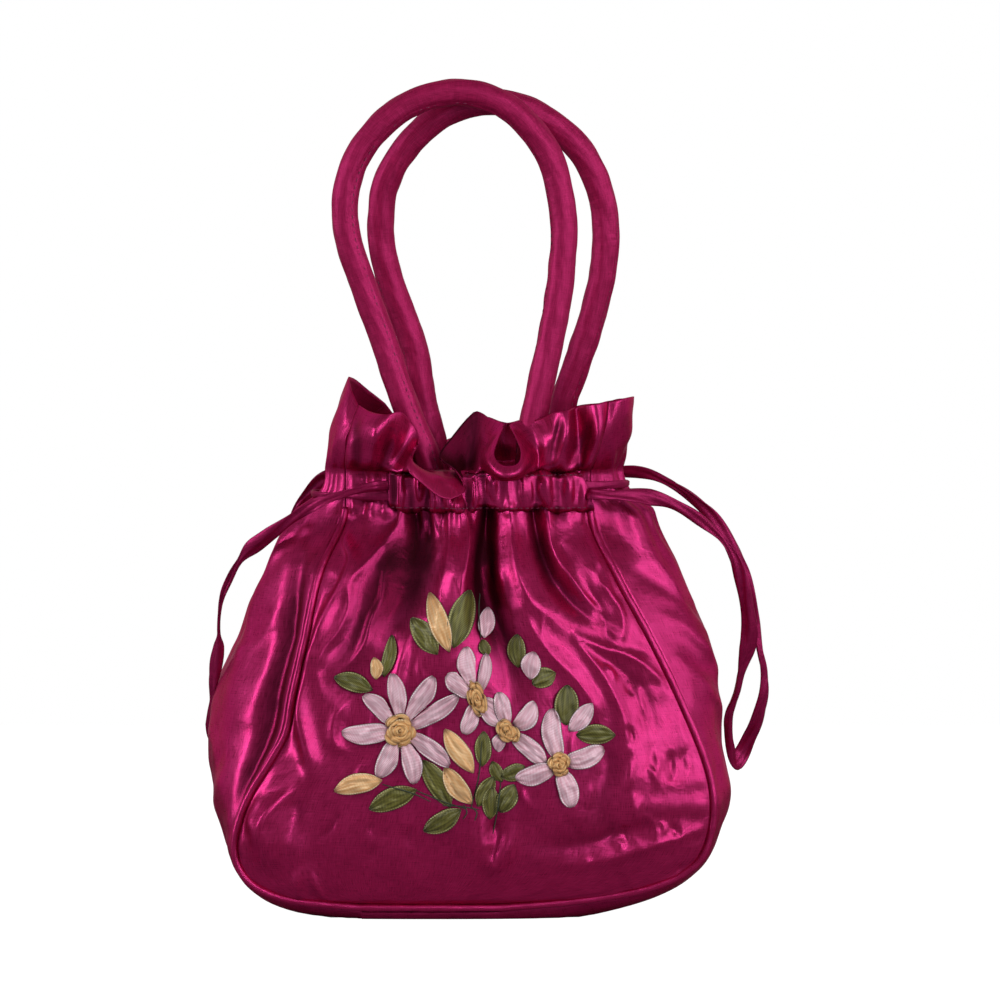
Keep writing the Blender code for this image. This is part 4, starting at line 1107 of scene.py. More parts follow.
@dataclass
class Panel:
    """The front or back panel: one piece of satin from the bottom seam to the hem."""

    cut: Cut
    face: Face
    folds: tuple
    pleats: tuple
    frill: FrillShape
    frill_folds: tuple = ()
    # Where the frill is painted dark as a shaded recess: its place across and its half width.
    painted_shade_pocket: tuple[float, float] | None = None
    shades: tuple = ()
    columns: int = 220
    body_rows: int = 140
    band_rows: int = 12
    frill_rows: int = 40
    cloth: float = 0.0006
    flat_width: float = 0.19
    sunk: float = 0.0010
    smooth_columns: int = 10
    roll_out: float = 0.0042
    roll_down: float = 0.0028
    seed: float = 0.0
    shaded_depth: float = 0.0075
    held_beside: float = 0.0042
    held_above: float = 0.006
    # The cloth's own unevenness: (size of a bump in metres, place in the noise, height in metres).
    lumps: tuple = ((0.022, 3.0, 0.0010), (0.010, 7.0, 0.00036))
    # The puckers at the side seams and at the bottom seam: (length of one, height, reach), in metres.
    side_puckers: tuple[float, float, float] = (0.0055, 0.0009, 0.011)
    base_puckers: tuple[float, float, float] = (0.007, 0.0008, 0.012)

    def out_at(self, x: Array, y: Array) -> tuple[Array, Array]:
        """How far the folds and pleats move the cloth at board places, outwards and to the right."""
        out, over = relief(self.folds, x, y)
        return out + pleats_at(self.pleats, x, self.cut.body_top - from_board(x, y)[1]), over

    def build(self) -> Thing:
        """Builds the panel.

        Returns:
            The sheet with its cloth thickness.
        """
        share = np.linspace(-1, 1, self.columns)
        body, body_painted_shade = self.body(share)
        frill, frill_painted_shade = self.free_edge(body[-1], share)
        grid = np.concatenate([body, frill])
        painted_shade = np.concatenate([body_painted_shade, frill_painted_shade])
        across, up = share * self.flat_width / 2, along_grid(grid, 0)
        return sheet_mesh(f"{self.face.word}_panel", grid, across, up, painted_shade, self.cloth, self.face)

    def body(self, share: Array) -> tuple[Array, Array]:
        """The cloth from the bottom seam to the top of the casing.

        Args:
            share: the columns' places from -1 to 1.

        Returns:
            A grid of points and the shade painted on each, strongest in its folds.
        """
        cut = self.cut
        z = cut.heights(self.body_rows, self.band_rows, 1.08)
        width = np.linalg.norm(cut.seam(self.face, Side.RIGHT, z) - cut.seam(self.face, Side.LEFT, z), axis=1)
        inset = 1 - 2 * cut.seam_inset(z) / width
        base, out_way = cut.panel(self.face, z, share[None, :] * inset[:, None])
        x, y = to_board(base)
        out, over = self.out_at(x, y)
        # Painted shade: the deeper a valley of the folds, the darker, full at shaded_depth, plus the painted
        # shade of the shade folds.
        painted_shade = np.clip(-out / self.shaded_depth, 0, 0.92) + relief(self.shades, x, y)[0] / MM
        in_band = eased((cut.casing_band / 2 - np.abs(z - cut.casing_height)) / 0.0025)[:, None]
        out -= in_band * self.sunk
        for size, place, height in self.lumps:
            out += crumple(base[..., 0], base[..., 2], size, place + self.seed) * height
        from_seam = (1 - np.abs(share))[None, :] * width[:, None] / 2
        from_base = (z - cut.low)[:, None]
        out += self.puckers(base, np.sign(share), from_seam, from_base)
        held = eased(np.minimum(from_seam / self.held_beside, (from_base + MM) / self.held_above))
        body = base + out_way * (out * held)[..., None]
        body[..., 0] += over * held
        body[..., 2] += (1 - eased(from_base / 0.004)) * cut.piping_room
        return body, np.clip(painted_shade, 0, 0.95)

    def puckers(self, base: Array, side: Array, from_seam: Array, from_base: Array) -> Array:
        """Short puckers that the seams draw up.

        Args:
            base: the panel's plain points.
            side: -1 or 1 for the columns left or right of the middle.
            from_seam: each point's way to the nearer side seam.
            from_base: each row's way to the bottom seam.

        Returns:
            The move outwards in metres.
        """
        size, height, reach = self.side_puckers
        ridges = crumple(base[..., 2], side[None, :] * 7.0, size, 21.0 + self.seed)
        beside = ridges * height * np.exp(-from_seam / reach) * (base[..., 2] < self.cut.body_top)
        size, height, reach = self.base_puckers
        under = crumple(base[..., 0], 0.0, size, 31.0 + self.seed)
        return beside + under * height * np.exp(-from_base / reach)

    def free_edge(self, neck: Array, share: Array) -> tuple[Array, Array]:
        """The frill, which keeps the neck's pleats at its foot and bulges over the casing.

        Args:
            neck: the cloth's points at the top of the casing.
            share: the columns' places from -1 to 1.

        Returns:
            A grid of points and the shade painted on each, strongest in its folds and in a dark recess.
        """
        n, front = self.smooth_columns, self.face.value
        window = np.full(2 * n + 1, 1 / (2 * n + 1))
        padded = np.pad(neck, ((n, n), (0, 0)), mode="edge")
        even = np.stack([np.convolve(padded[:, k], window, "valid") for k in range(3)], axis=1)
        even[:n], even[-n:] = neck[:n], neck[-n:]
        up = np.linspace(0, 1, self.frill_rows + 1)[1:]
        frill = self.frill.points(even, share, up) + (neck - even) * ((1 - up) ** 3)[:, None, None]
        pressed, _ = relief(self.frill_folds, *to_board(frill))
        frill[..., 1] += front * pressed * eased((1 - np.abs(share)) / 0.04)
        soft = crumple(frill[..., 0], frill[..., 2] + frill[..., 1], 0.012, 11.0 + self.seed)
        frill[..., 1] += front * 0.0005 * soft * np.sin(np.pi * np.minimum(up, 0.9))[:, None]
        lumps = 0.6 + 0.9 * crumple(share * 0.1, 0.0, 0.011, 17.0 + self.seed)
        lumps = np.clip(lumps, 0.15, 1.2) * eased((1 - np.abs(share)) / 0.05)
        roll = bell((up - 0.16) / 0.13)[:, None] * lumps[None, :]
        frill[..., 1] += front * self.roll_out * roll
        frill[..., 2] -= self.roll_down * roll
        # Painted shade in the frill's valleys, and the painted dark recess, which fades in from the foot of
        # the frill.
        painted_shade = np.clip(-pressed / 0.0032, 0, 0.6)
        if self.painted_shade_pocket:
            place, half = self.painted_shade_pocket
            painted_shade = painted_shade + 0.95 * bell((share - place) / half, 4)[None, :] * eased(up / 0.35)[:, None]
        return frill, np.clip(painted_shade, 0, 0.95)


@dataclass
class Gusset:
    """One strip of satin: down the left side, under the pouch and up the right side."""

    cut: Cut
    columns: int = 72
    side_rows: int = 120
    band_rows: int = 8
    frill_rows: int = 30
    base_rows: int = 60
    cloth: float = 0.0006
    flat_width: float = 0.08
    shaded_depth: float = 0.0045
    # The tuck beside the front seam on the left, in metres, with the heights where it fades in and out.
    tuck_depth: float = 0.0046
    tuck_place: float = 0.0048
    tuck_width: float = 0.0040
    tuck_foot: tuple[float, float] = (0.024, 0.060)
    tuck_top: tuple[float, float] = (0.152, 0.122)
    # The waves at the neck: (how fast they follow each other, height in metres).
    waves: tuple = ((9.0, 0.0012), (17.0, 0.0007))
    # The cloth's own unevenness: (size of a bump, how much narrower it is, place in the noise, height).
    lumps: tuple = ((0.02, 1.6, 41.0, 0.0011), (0.009, 1.0, 45.0, 0.0004))
    puckers: tuple[float, float, float] = (0.006, 0.0007, 0.008)

    def side_rows_of(self, side: Side) -> tuple[Array, Array]:
        """The rows of one side from the bottom to the hem.

        Args:
            side: which side.

        Returns:
            A grid of points and the shade painted on each, strongest in its folds.
        """
        cut = self.cut
        z = cut.heights(self.side_rows, self.band_rows, 1.25)
        share = np.linspace(-1, 1, self.columns)
        depth = np.linalg.norm(cut.seam(Face.BACK, side, z) - cut.seam(Face.FRONT, side, z), axis=1)
        inset = cut.seam_inset(z) / cut.side_stretch(side, z)
        base, way = cut.side(side, z, share[None, :] * (1 - 2 * inset / depth)[:, None])
        folds, frill_table = (LEFT_FOLDS, LEFT_FRILL) if side is Side.LEFT else (RIGHT_FOLDS, RIGHT_FRILL)
        out, _ = relief(folds, base[..., 1] / MM, np.broadcast_to(z[:, None] / MM, base.shape[:2]))
        from_seam = (1 - np.abs(share))[None, :] * depth[:, None] / 2
        if side is Side.LEFT:
            (low, risen), (high, faded) = self.tuck_foot, self.tuck_top
            tucked = eased((z - low) / (risen - low)) * eased((high - z) / (high - faded))
            tuck = self.tuck_depth * bell((from_seam - self.tuck_place) / self.tuck_width)
            out -= tuck * tucked[:, None] * (share < 0)[None, :]
        # Painted shade in the valleys of the folds and in the tuck, full at shaded_depth; none on the frill.
        painted_shade = np.clip(-out / self.shaded_depth, 0, 0.7)
        near_neck = eased((z - cut.body_top + 0.045) / 0.045)[:, None]
        (slow, tall), (fast, small) = self.waves
        waves = np.sin(share * slow + side.value)[None, :] * tall + np.sin(share * fast)[None, :] * small
        out += waves * near_neck**2
        for size, narrower, place, height in self.lumps:
            out += crumple(base[..., 1] * narrower, base[..., 2], size, place + side.value) * height
        size, height, reach = self.puckers
        puckers = crumple(base[..., 2], np.sign(share)[None, :] * 5.0, size, 51.0)
        out += puckers * height * np.exp(-from_seam / reach)
        held = eased(from_seam / 0.006) * eased((z[:, None] - cut.low) / 0.02)
        body = base + way * (out * held)[..., None]
        up = np.linspace(0, 1, self.frill_rows + 1)[1:]
        frill = FrillShape(frill_table).points(body[-1], share, up)
        soft = crumple(frill[..., 1], frill[..., 2], 0.011, 61.0 + side.value)
        frill[..., 0] += side.value * 0.0012 * soft * np.sin(np.pi * np.minimum(up, 0.9))[:, None]
        return np.concatenate([body, frill]), np.concatenate([painted_shade, np.zeros(frill.shape[:2])])

    def build(self) -> Thing:
        """Builds the gusset.

        Returns:
            The sheet with its cloth thickness.
        """
        left, left_painted_shade = self.side_rows_of(Side.LEFT)
        right, right_painted_shade = self.side_rows_of(Side.RIGHT)
        share = np.linspace(-1, 1, self.columns)
        across = share * (1 - self.cut.piping_room / (self.cut.half_depth * 0.93))
        steps = np.linspace(0, 1, self.base_rows + 2)[1:-1]
        under = self.cut.base(steps, np.broadcast_to(across, (self.base_rows, self.columns)))
        grid = np.concatenate([left[::-1], under, right])
        painted_shade = np.concatenate([left_painted_shade[::-1], np.zeros(under.shape[:2]), right_painted_shade])
        grid[..., 2] = np.maximum(grid[..., 2], 0.0)
        run = along_grid(grid, 0)
        return sheet_mesh("gusset", grid, share * self.flat_width / 2, run, painted_shade, self.cloth)


@dataclass
class Piping:
    """A thin cord covered with satin, sewn into the seam round a panel."""

    cut: Cut
    face: Face
    diameter: float = 0.0029
    past_top: float = 0.001
    sides: int = 12

    def build(self) -> Thing:
        """Builds the piping down one side, under the panel and up the other side.

        Returns:
            The closed tube.
        """
        cut = self.cut
        z = np.linspace(cut.low, cut.body_top + self.past_top, 160)
        left, right = cut.seam(self.face, Side.LEFT, z)[::-1], cut.seam(self.face, Side.RIGHT, z)
        under = cut.panel(self.face, np.full(1, cut.low), np.linspace(-1, 1, 42)[None, 1:-1])[0][0]
        line = evened(np.vstack([left, under, right]), 0.0016)
        _, across, out = steady_frames(line, (0.0, -1.0, 0.0))
        angles = np.linspace(0, 2 * math.pi, self.sides, endpoint=False)
        swell = 1 + 0.05 * np.sin(along(line) / 0.0042) + 0.04 * np.sin(along(line) / 0.0017)

        def ring(i: int) -> Array:
            """The section, a little uneven where the cover is gathered."""
            return round_section(angles, self.diameter / 2 * swell[i])

        return tube_mesh(f"{self.face.word}_piping", line, across, out, ring)


@dataclass
class Casing:
    """A satin strip stitched over the gathers, which holds the drawstrings."""

    cut: Cut
    panel: Panel
    columns: int = 230
    rows: int = 22
    gap: float = 0.0003
    room: float = 0.0034
    tape_room: float = 0.0026
    softened: float = 0.0008
    slant: float = 0.03
    cloth: float = 0.0003
    # How its edges wander: (length of a wave, place in the noise, height).
    edges: tuple = ((0.010, 75.0, 0.0040), (0.0028, 85.0, 0.0010))

    def build(self) -> Thing:
        """Builds the strip.

        Returns:
            The sheet with its cloth thickness.
        """
        cut, face, seed = self.cut, self.panel.face, self.panel.seed
        left, right = cut.casing_ends
        half = cut.casing_band / 2 - 0.0002
        offsets = np.linspace(-half, half, self.rows)
        share = offsets / half
        across = np.linspace(0, 1, self.columns)[None, :] * (right - left - self.slant * share[:, None])
        base, way = cut.panel(face, cut.casing_height + offsets, 2 * (left + across) - 1)
        x, y = to_board(base)
        under, _ = self.panel.out_at(x, y)
        bulge = np.sqrt(np.clip(1 - share**2, 0, 1))[:, None]
        own = pleats_at(self.panel.pleats, x + 0.6 * np.sin(y / 9.0)) * 0.9
        fine = crumple(x * UNIT + y * UNIT * 0.35, y * UNIT * 0.3, 0.0050, 71.0 + seed) * 0.0020
        swell = 0.75 + 0.6 * crumple(x * UNIT, 0.0, 0.013, 91.0 + seed)
        out = self.gap + under * (1 - 0.2 * bulge) + bulge * (self.room * swell + own + fine)
        least = self.gap + self.tape_room * eased((1 - np.abs(share)) / 0.25)[:, None]
        soft, past = self.softened, out - least - self.softened
        out = np.where(past > 0, out, least + soft * np.exp(past / soft))
        grid = base + way * out[..., None]
        for size, place, height in self.edges:
            grid[..., 2] += crumple(x * UNIT, 0.0, size, place + seed) * height * np.abs(share[:, None])
        # Painted shade in the valleys of the strip's own pleats and wrinkles.
        painted_shade = np.clip(-(own + fine) / 0.0018, 0, 0.8)
        run = along_grid(grid, 1)
        return sheet_mesh(f"{face.word}_casing", grid, run, offsets, painted_shade, self.cloth, face, 1.0)

    def stitch_line(self, surface: BVHTree, offset: float) -> Array:
        """A line along the strip for its stitches.

        Args:
            surface: the strip's surface.
            offset: how far above the strip's middle the line runs.

        Returns:
            Points on the strip.
        """
        front = self.panel.face.value
        left, right = self.cut.casing_ends
        across = np.linspace(2 * left - 0.985, 2 * right - 1.01, 300)
        height = np.full(1, self.cut.casing_height + offset)
        base, _ = self.cut.panel(self.panel.face, height, across[None, :])
        inwards, lift = Vector((0, -front, 0)), np.array([0, front * 0.00025, 0])
        hits = (surface.ray_cast(Vector((x, front * 0.2, z)), inwards)[0] for x, _, z in base[0])
        return np.array([np.array(hit) + lift for hit in hits if hit])


# The hanging loops, from the front casing's end to the back casing's: (x, y, depth in millimetres).
LEFT_LOOP = (
    (374, 486, -24), (360, 489, -24), (342, 494, -23), (324, 500, -21), (306, 510, -18), (286, 523, -15),
    (266, 538, -11), (248, 552, -8), (236, 567, -5), (228, 582, -2), (221, 598, 0), (218, 614, 2),
    (217, 632, 4), (217, 650, 6), (214, 668, 8), (211, 686, 10), (209, 704, 13), (207, 722, 16),
    (208, 738, 20), (211, 750, 25), (216, 754, 31), (224, 748, 37), (233, 728, 42), (242, 700, 45),
    (251, 668, 46), (260, 630, 45), (270, 594, 41), (281, 560, 34), (290, 530, 27), (296, 512, 22),
    (307, 498, 20), (320, 486, 20), (336, 480, 22), (352, 479, 24),
)
RIGHT_LOOP = (
    (590, 493, -27), (610, 494, -26), (634, 495, -22), (652, 498, -17), (669, 503, -13), (688, 513, -9),
    (706, 526, -6), (721, 539, -4), (731, 552, -3), (738, 567, -2), (743, 585, 0), (747, 602, 2),
    (750, 620, 4), (751, 638, 6), (749, 655, 8), (746, 669, 10), (743, 684, 12), (740, 700, 14),
    (735, 712, 17), (731, 724, 20), (731, 740, 23), (733, 757, 26), (735, 770, 30), (739, 774, 34),
    (746, 764, 36), (753, 748, 34), (759, 734, 31), (764, 716, 28), (767, 699, 26), (767, 683, 25),
    (764, 664, 23), (761, 645, 22), (758, 625, 21), (754, 605, 20), (748, 587, 19), (741, 570, 18),
    (734, 553, 17), (725, 536, 16), (712, 519, 14), (695, 504, 13), (680, 493, 14), (666, 485, 17),
    (650, 479, 20), (632, 477, 24), (614, 480, 27),
)


@dataclass
class Drawstring:
    """A flat satin tape that runs round the neck in the casings and hangs in a loop on one side."""

    cut: Cut
    side: Side
    loop: tuple
    width: float = 0.0068
    thick: float = 0.0012
    spacing: float = 0.0043
    out: float = 0.0016
    gusset_gap: float = 0.0011
    ring_end: float = 0.97
    ring_home: float = 0.02
    step: float = 0.0011
    smooth_steps: int = 12
    seed: float = 0.0
    twisted: tuple[float, float] | None = None
    # How it narrows where it bunches, as shares of its width: the usual, the least, the most, and its waves,
    # as (length in metres, share).
    usual: float = 0.74
    least: float = 0.42
    most: float = 1.02
    bunches: tuple = ((0.013, 0.22), (0.0047, 0.13))

    def over_panel(self, start: float, end: float, face: Face) -> Array:
        """Points just outside a panel's neck, from one place across to another."""
        base, way = self.cut.panel(face, np.full(1, self.height), np.linspace(start, end, 10)[None, :])
        return base[0] + way[0] * self.out

    def over_gusset(self, far: Side) -> Array:
        """Points just outside the gusset's neck, from the back to the front.

        Args:
            far: which side of the gusset.

        Returns:
            The points.
        """
        places = np.array([[0.88, 0.68, 0.44, 0.2, 0.0, -0.2, -0.44, -0.68, -0.88]])
        base, way = self.cut.side(far, np.full(1, self.height), places)
        return base[0] + way[0] * (self.out + self.gusset_gap)

    @property
    def height(self) -> float:
        """The tape's height in the casings. The left one runs above the right one."""
        return self.cut.casing_height - self.side.value * self.spacing / 2

    def route(self) -> tuple[Array, Array, Array]:
        """The tape's line: front casing, hanging loop, back casing, far gusset and home.

        Returns:
            The points, the way its width lies at each, and how freely it hangs there, from 0 to 1.
        """
        far = Side.RIGHT if self.side is Side.LEFT else Side.LEFT
        near, away = 2 * self.cut.casing_ends[self.side is Side.RIGHT] - 1, far.value * self.ring_end
        x, y, depth = np.array(self.loop, float).T
        x, z = from_board(x, y)
        pieces = [
            (self.over_panel(0.0, near, Face.FRONT), 0.0), (np.stack([x, depth * MM, z], axis=1), 1.0),
            (self.over_panel(near, away, Face.BACK), 0.0), (self.over_gusset(far), 0.0),
            (self.over_panel(away, self.ring_home, Face.FRONT), 0.0),
        ]
        rows = [np.column_stack([points, np.full(len(points), free)]) for points, free in pieces]
        line = rounded(np.vstack(rows), 10)
        length = along(line[:, :3])[-1]
        at = np.linspace(0, length, round(length / self.step))
        line = read_at(line, at)
        line, freely = line[:, :3], np.clip(line[:, 3], 0, 1)
        held = np.array([0.0, 0.0, 1.0])
        way, across, out = steady_frames(line, held)
        facing = unit(np.cross(way, np.array([0.35 * self.side.value, -1.0, 0.0])))
        facing *= np.where((facing * held).sum(1) < 0, -1, 1)[:, None]
        wanted = held * (1 - freely)[:, None] + facing * freely[:, None]
        angle = np.unwrap(np.arctan2((wanted * out).sum(1), (wanted * across).sum(1)), period=math.pi)
        n = self.smooth_steps
        smooth = np.convolve(np.pad(angle, n, mode="edge"), np.full(2 * n + 1, 1 / (2 * n + 1)), mode="valid")
        turn = 0.55 * np.sin(at / 0.023 + self.seed) + 0.35 * np.sin(at / 0.0091 + 2 * self.seed)
        smooth = smooth + turn * freely
        return line, across * np.cos(smooth)[:, None] + out * np.sin(smooth)[:, None], freely

    def build(self) -> tuple[Thing, Array]:
        """Builds the tape.

        Returns:
            The closed tube and the line that it follows.
        """
        line, width_way, freely = self.route()
        out = np.cross(unit(np.gradient(line, axis=0)), width_way)
        run = along(line)
        narrow = self.usual
        for number, (length, share) in enumerate(self.bunches, 1):
            narrow = narrow + share * np.sin(run / length + number * self.seed)
        narrow = np.clip(narrow, self.least, self.most) * (0.62 + 0.38 * freely)
        if self.twisted:
            y = to_board(line)[1]
            pinch = eased((y - self.twisted[0]) / 16) * eased((self.twisted[1] - y) / 12)
            narrow = narrow * (1 - 0.5 * pinch * freely)
        curl = 0.0010 * np.sin(run / 0.009 + 1.7 * self.seed) * freely
        steps = np.linspace(-1, 1, 7)
        rim = self.thick / 2 * np.sqrt(np.clip(1.12 - steps**2, 0.12, 1))

        def ring(i: int) -> Array:
            """A flat section with a fold or two along it.

            Args:
                i: the number of the line's point.

            Returns:
                The section's places.
            """
            across = steps * (self.width / 2 * narrow[i])
            ripple = 0.00060 * np.sin(steps * 5.0 + run[i] / 0.006) * (0.15 + 0.85 * freely[i])
            middle = curl[i] * (1 - steps**2) + ripple
            lower, upper = np.stack([across, middle - rim], axis=1), np.stack([across, middle + rim], axis=1)
            return np.vstack([lower, upper[::-1]])

        return tube_mesh(f"drawstring_{self.side.word}", line, width_way, out, ring), line


@dataclass
class Handle:
    """A soft round handle: satin cut on the bias, sewn into a tube and stuffed."""

    face: Face
    route: tuple
    foot_depth: tuple[float, float]
    top_depth: float = 0.007
    diameter: float = 0.0108
    sides: int = 40
    groove: float = 0.00045
    lip: float = 0.00025
    wrinkle: float = 0.00042
    seed: float = 0.0

    def line(self) -> Array:
        """The handle's middle line.

        Returns:
            Its points, from the left foot to the right.
        """
        x, z = from_board(*np.array(self.route, float).T)
        share = np.clip((z - 0.19) / 0.14, 0, 1)
        foot = np.where(np.arange(len(x)) < len(x) / 2, *self.foot_depth)
        depth = foot + (self.top_depth - foot) * share
        return evened(rounded(np.stack([x, self.face.value * depth, z], axis=1), 8), 0.0011)

    def build(self) -> tuple[Thing, Array]:
        """Builds the handle.

        Returns:
            The closed tube, and the points of its seam for the stitches.
        """
        line = self.line()
        _, across, out = steady_frames(line, (1.0, 0.0, 0.0))
        run = along(line)
        angles = np.linspace(0, 2 * math.pi, self.sides, endpoint=False)
        seam = -math.pi / 2 - 0.9 * self.face.value + 0.5 * np.sin(run / 0.09 + self.seed)
        wrinkles = np.zeros((len(run), self.sides))
        for (i, k), _ in np.ndenumerate(wrinkles):
            a, r = angles[k], run[i]
            place = (3.2 * math.cos(a) + r / 0.016, 3.2 * math.sin(a), r / 0.010 + a * 0.9 + self.seed)
            wrinkles[i, k] = noise.noise(Vector(place))
        broad = crumple(run, self.seed * 0.03, 0.03, 0.5)
        near = np.angle(np.exp(1j * (angles[None, :] - seam[:, None])))
        sewn = self.lip * bell((near - 0.22) / 0.12) - self.groove * bell(near / 0.10)
        radius = self.diameter / 2 * (1 + 0.03 * broad)[:, None] + sewn + self.wrinkle * wrinkles

        def ring(i: int) -> Array:
            """The section, round with wrinkles."""
            return round_section(angles, radius[i])

        tube = tube_mesh(f"handle_{self.face.word}", line, across, out, ring)
        angle = seam[:, None] + 0.12
        return tube, line + (self.diameter / 2 - 0.0001) * (np.cos(angle) * across + np.sin(angle) * out)


# The handles' middle lines on the board, from the left foot over the top to the right foot.
FRONT_ROUTE = (
    (432, 512), (432, 490), (430, 470), (425, 452), (418, 436), (410, 418), (403, 400), (398, 385),
    (388, 355), (377.5, 325), (366.5, 295), (356, 265), (350, 248), (346, 228), (344.5, 207),
    (346.5, 190), (350, 175), (356, 160), (365, 145), (376, 131), (388, 119.5), (402, 109), (418, 101),
    (436, 95.5), (455, 93), (475, 94.5), (495, 101), (512, 111), (526, 123.5), (538, 138), (548.5, 155),
    (555.5, 173), (559.5, 190), (562.5, 208), (564, 226), (564, 246), (562.5, 265), (561, 280),
    (556.5, 310), (551, 340), (544.5, 370), (538, 400), (533, 424), (530, 450), (529, 480), (529, 512),
)
BACK_ROUTE = (
    (431, 512), (434, 490), (435, 465), (433, 445), (429.5, 430), (425.5, 415), (422, 400), (419.5, 385),
    (414.5, 355), (405, 325), (393.5, 295), (385.5, 268), (381.5, 250), (380, 228), (381, 205),
    (383.5, 190), (389.5, 175), (397.5, 160), (407, 147), (419, 134), (434, 121), (452, 111), (472, 105),
    (492, 103), (510, 105.5), (528, 111), (545, 120), (560, 131), (573, 143), (585, 158), (594, 175),
    (600, 191), (604, 207), (606, 224), (606.5, 244), (604.5, 265), (602.5, 282), (598.5, 297),
    (591.5, 325), (581.5, 355), (571, 385), (566, 400), (563, 416), (563, 434), (566, 456), (572, 482),
    (576, 512),
)


@dataclass(frozen=True)
class StitchRow:
    """A row of sewing stitches along a line, made by a node tree from its pitch, length and thickness."""

    pitch: float = 0.0024
    length: float = 0.0017
    thick: float = 0.00042

    def tree(self, material: Material) -> bpy.types.GeometryNodeTree:
        """Makes the node tree.

        Args:
            material: the thread's material.

        Returns:
            The tree, with its pitch, length and thickness as inputs.
        """
        tree = bpy.data.node_groups.new("stitch_row", "GeometryNodeTree")
        add = partial(add_node, tree)
        tree.interface.new_socket("Line", in_out="INPUT", socket_type="NodeSocketGeometry")
        for name in ("Pitch", "Length", "Thickness"):
            tree.interface.new_socket(name, in_out="INPUT", socket_type="NodeSocketFloat")
        tree.interface.new_socket("Stitches", in_out="OUTPUT", socket_type="NodeSocketGeometry")
        given = add("NodeGroupInput").node.outputs
        thick, length = given["Thickness"], given["Length"]
        curve = add("GeometryNodeMeshToCurve", {"Mesh": given["Line"]})
        pitch = {"Curve": curve, "Length": given["Pitch"]}
        spaced = add("GeometryNodeResampleCurve", pitch, {"mode": "LENGTH"})
        bead = add("GeometryNodeMeshUVSphere", {"Segments": 6, "Rings": 4, "Radius": 0.5})
        size = add("ShaderNodeCombineXYZ", {0: thick, 1: thick, 2: length})
        shaped = add("GeometryNodeTransform", {"Geometry": bead, "Scale": size})
        tangent = add("GeometryNodeInputTangent")
        turned = add("FunctionNodeAlignEulerToVector", {"Vector": tangent}, {"axis": "Z"})
        copies = {"Points": spaced, "Instance": shaped, "Rotation": turned}
        placed = add("GeometryNodeInstanceOnPoints", copies)
        real = add("GeometryNodeRealizeInstances", {"Geometry": placed})
        dressed = add("GeometryNodeSetMaterial", {"Geometry": real, "Material": material})
        add("NodeGroupOutput", {"Stitches": dressed})
        return tree

    def sew(self, name: str, lines: Sequence[Array], material: Material) -> Thing:
        """Sews rows of stitches.

        Args:
            name: the piece's name.
            lines: the points of each row.
            material: the thread's material.

        Returns:
            A plain mesh of stitches.
        """
        verts, edges = [], []
        for line in lines:
            edges += [(len(verts) + i, len(verts) + i + 1) for i in range(len(line) - 1)]
            verts += line.tolist()
        path = bpy.data.meshes.new(f"{name}_path")
        path.from_pydata(verts, edges, [])
        carrier = put(f"{name}_path", path)
        maker = carrier.modifiers.new("Stitches", "NODES")
        maker.node_group = self.tree(material)
        sizes = {"Pitch": self.pitch, "Length": self.length, "Thickness": self.thick}
        for item in maker.node_group.interface.items_tree:
            if item.in_out == "INPUT" and item.name in sizes:
                maker[item.identifier] = sizes[item.name]
        bpy.context.view_layer.update()
        mesh = bpy.data.meshes.new_from_object(carrier.evaluated_get(bpy.context.evaluated_depsgraph_get()))
        mesh.name = name
        mesh.shade_smooth()
        thing = put(name, mesh)
        bpy.data.objects.remove(carrier, do_unlink=True)
        return thing


# The daisies: name, middle, (half length, half width, degrees) of the centre, and then each petal's
# degrees from the right, length and width share.
DAISIES = (
    ("daisy_large", (400, 730), (17.5, 16.5, 0),
     ((95, 57, 1.0), (54, 63, 1.1), (25, 67, 1.0), (-31, 60, 1.0), (-70, 55, 1.1), (-112, 52, 1.1),
      (-169, 58, 1.1), (130, 50, 1.0))),
    ("daisy_upper", (476, 698), (19, 9.5, 106),
     ((109, 52, 1.1), (74, 45, 0.7), (147, 38, 1.1), (-21, 27, 0.8), (-55, 38, 0.9), (-110, 38, 0.9))),
    ("daisy_middle", (507, 731), (14, 10, -54),
     ((99, 40, 0.9), (38, 39, 1.1), (-39, 49, 1.0), (-135, 22, 0.8))),
    ("daisy_right", (558, 764), (12.2, 12.2, 0),
     ((101, 56, 1.1), (17, 47, 1.1), (-74, 45, 1.1), (-153, 45, 1.1))),
)
# Single stitches: where the ribbon comes up, where it goes down, and its width share.
GREEN_LEAVES = (
    ((469, 591), (455, 648), 1.4), ((411, 619), (434, 656), 1.2), ((392, 636), (382, 677), 0.7),
    ((334, 678), (373, 688), 1.0), ((369, 809), (416, 788), 1.2), ((422, 760), (453, 805), 1.2),
    ((423, 831), (461, 810), 1.1), ((483, 731), (485, 766), 0.9), ((491, 761), (500, 782), 0.7),
    ((500, 776), (524, 766), 0.9), ((493, 776), (475, 805), 0.9), ((491, 786), (491, 819), 0.9),
    ((498, 811), (518, 788), 1.1), ((566, 685), (563, 725), 1.3), ((575, 735), (614, 733), 1.1),
    ((516, 635), (516, 668), 1.0), ((531, 684), (555, 674), 1.1), ((481, 640), (489, 655), 0.6),
)
GOLD_PETALS = (
    ((429, 594), (448, 652), 1.1), ((444, 729), (476, 770), 1.1), ((444, 767), (469, 805), 1.1),
    ((334, 791), (382, 780), 1.1), ((374, 658), (375, 680), 0.7),
)
PINK_PETALS = (((487, 609), (486, 639), 0.9), ((533, 652), (524, 678), 1.1), ((568, 731), (591, 703), 1.0))
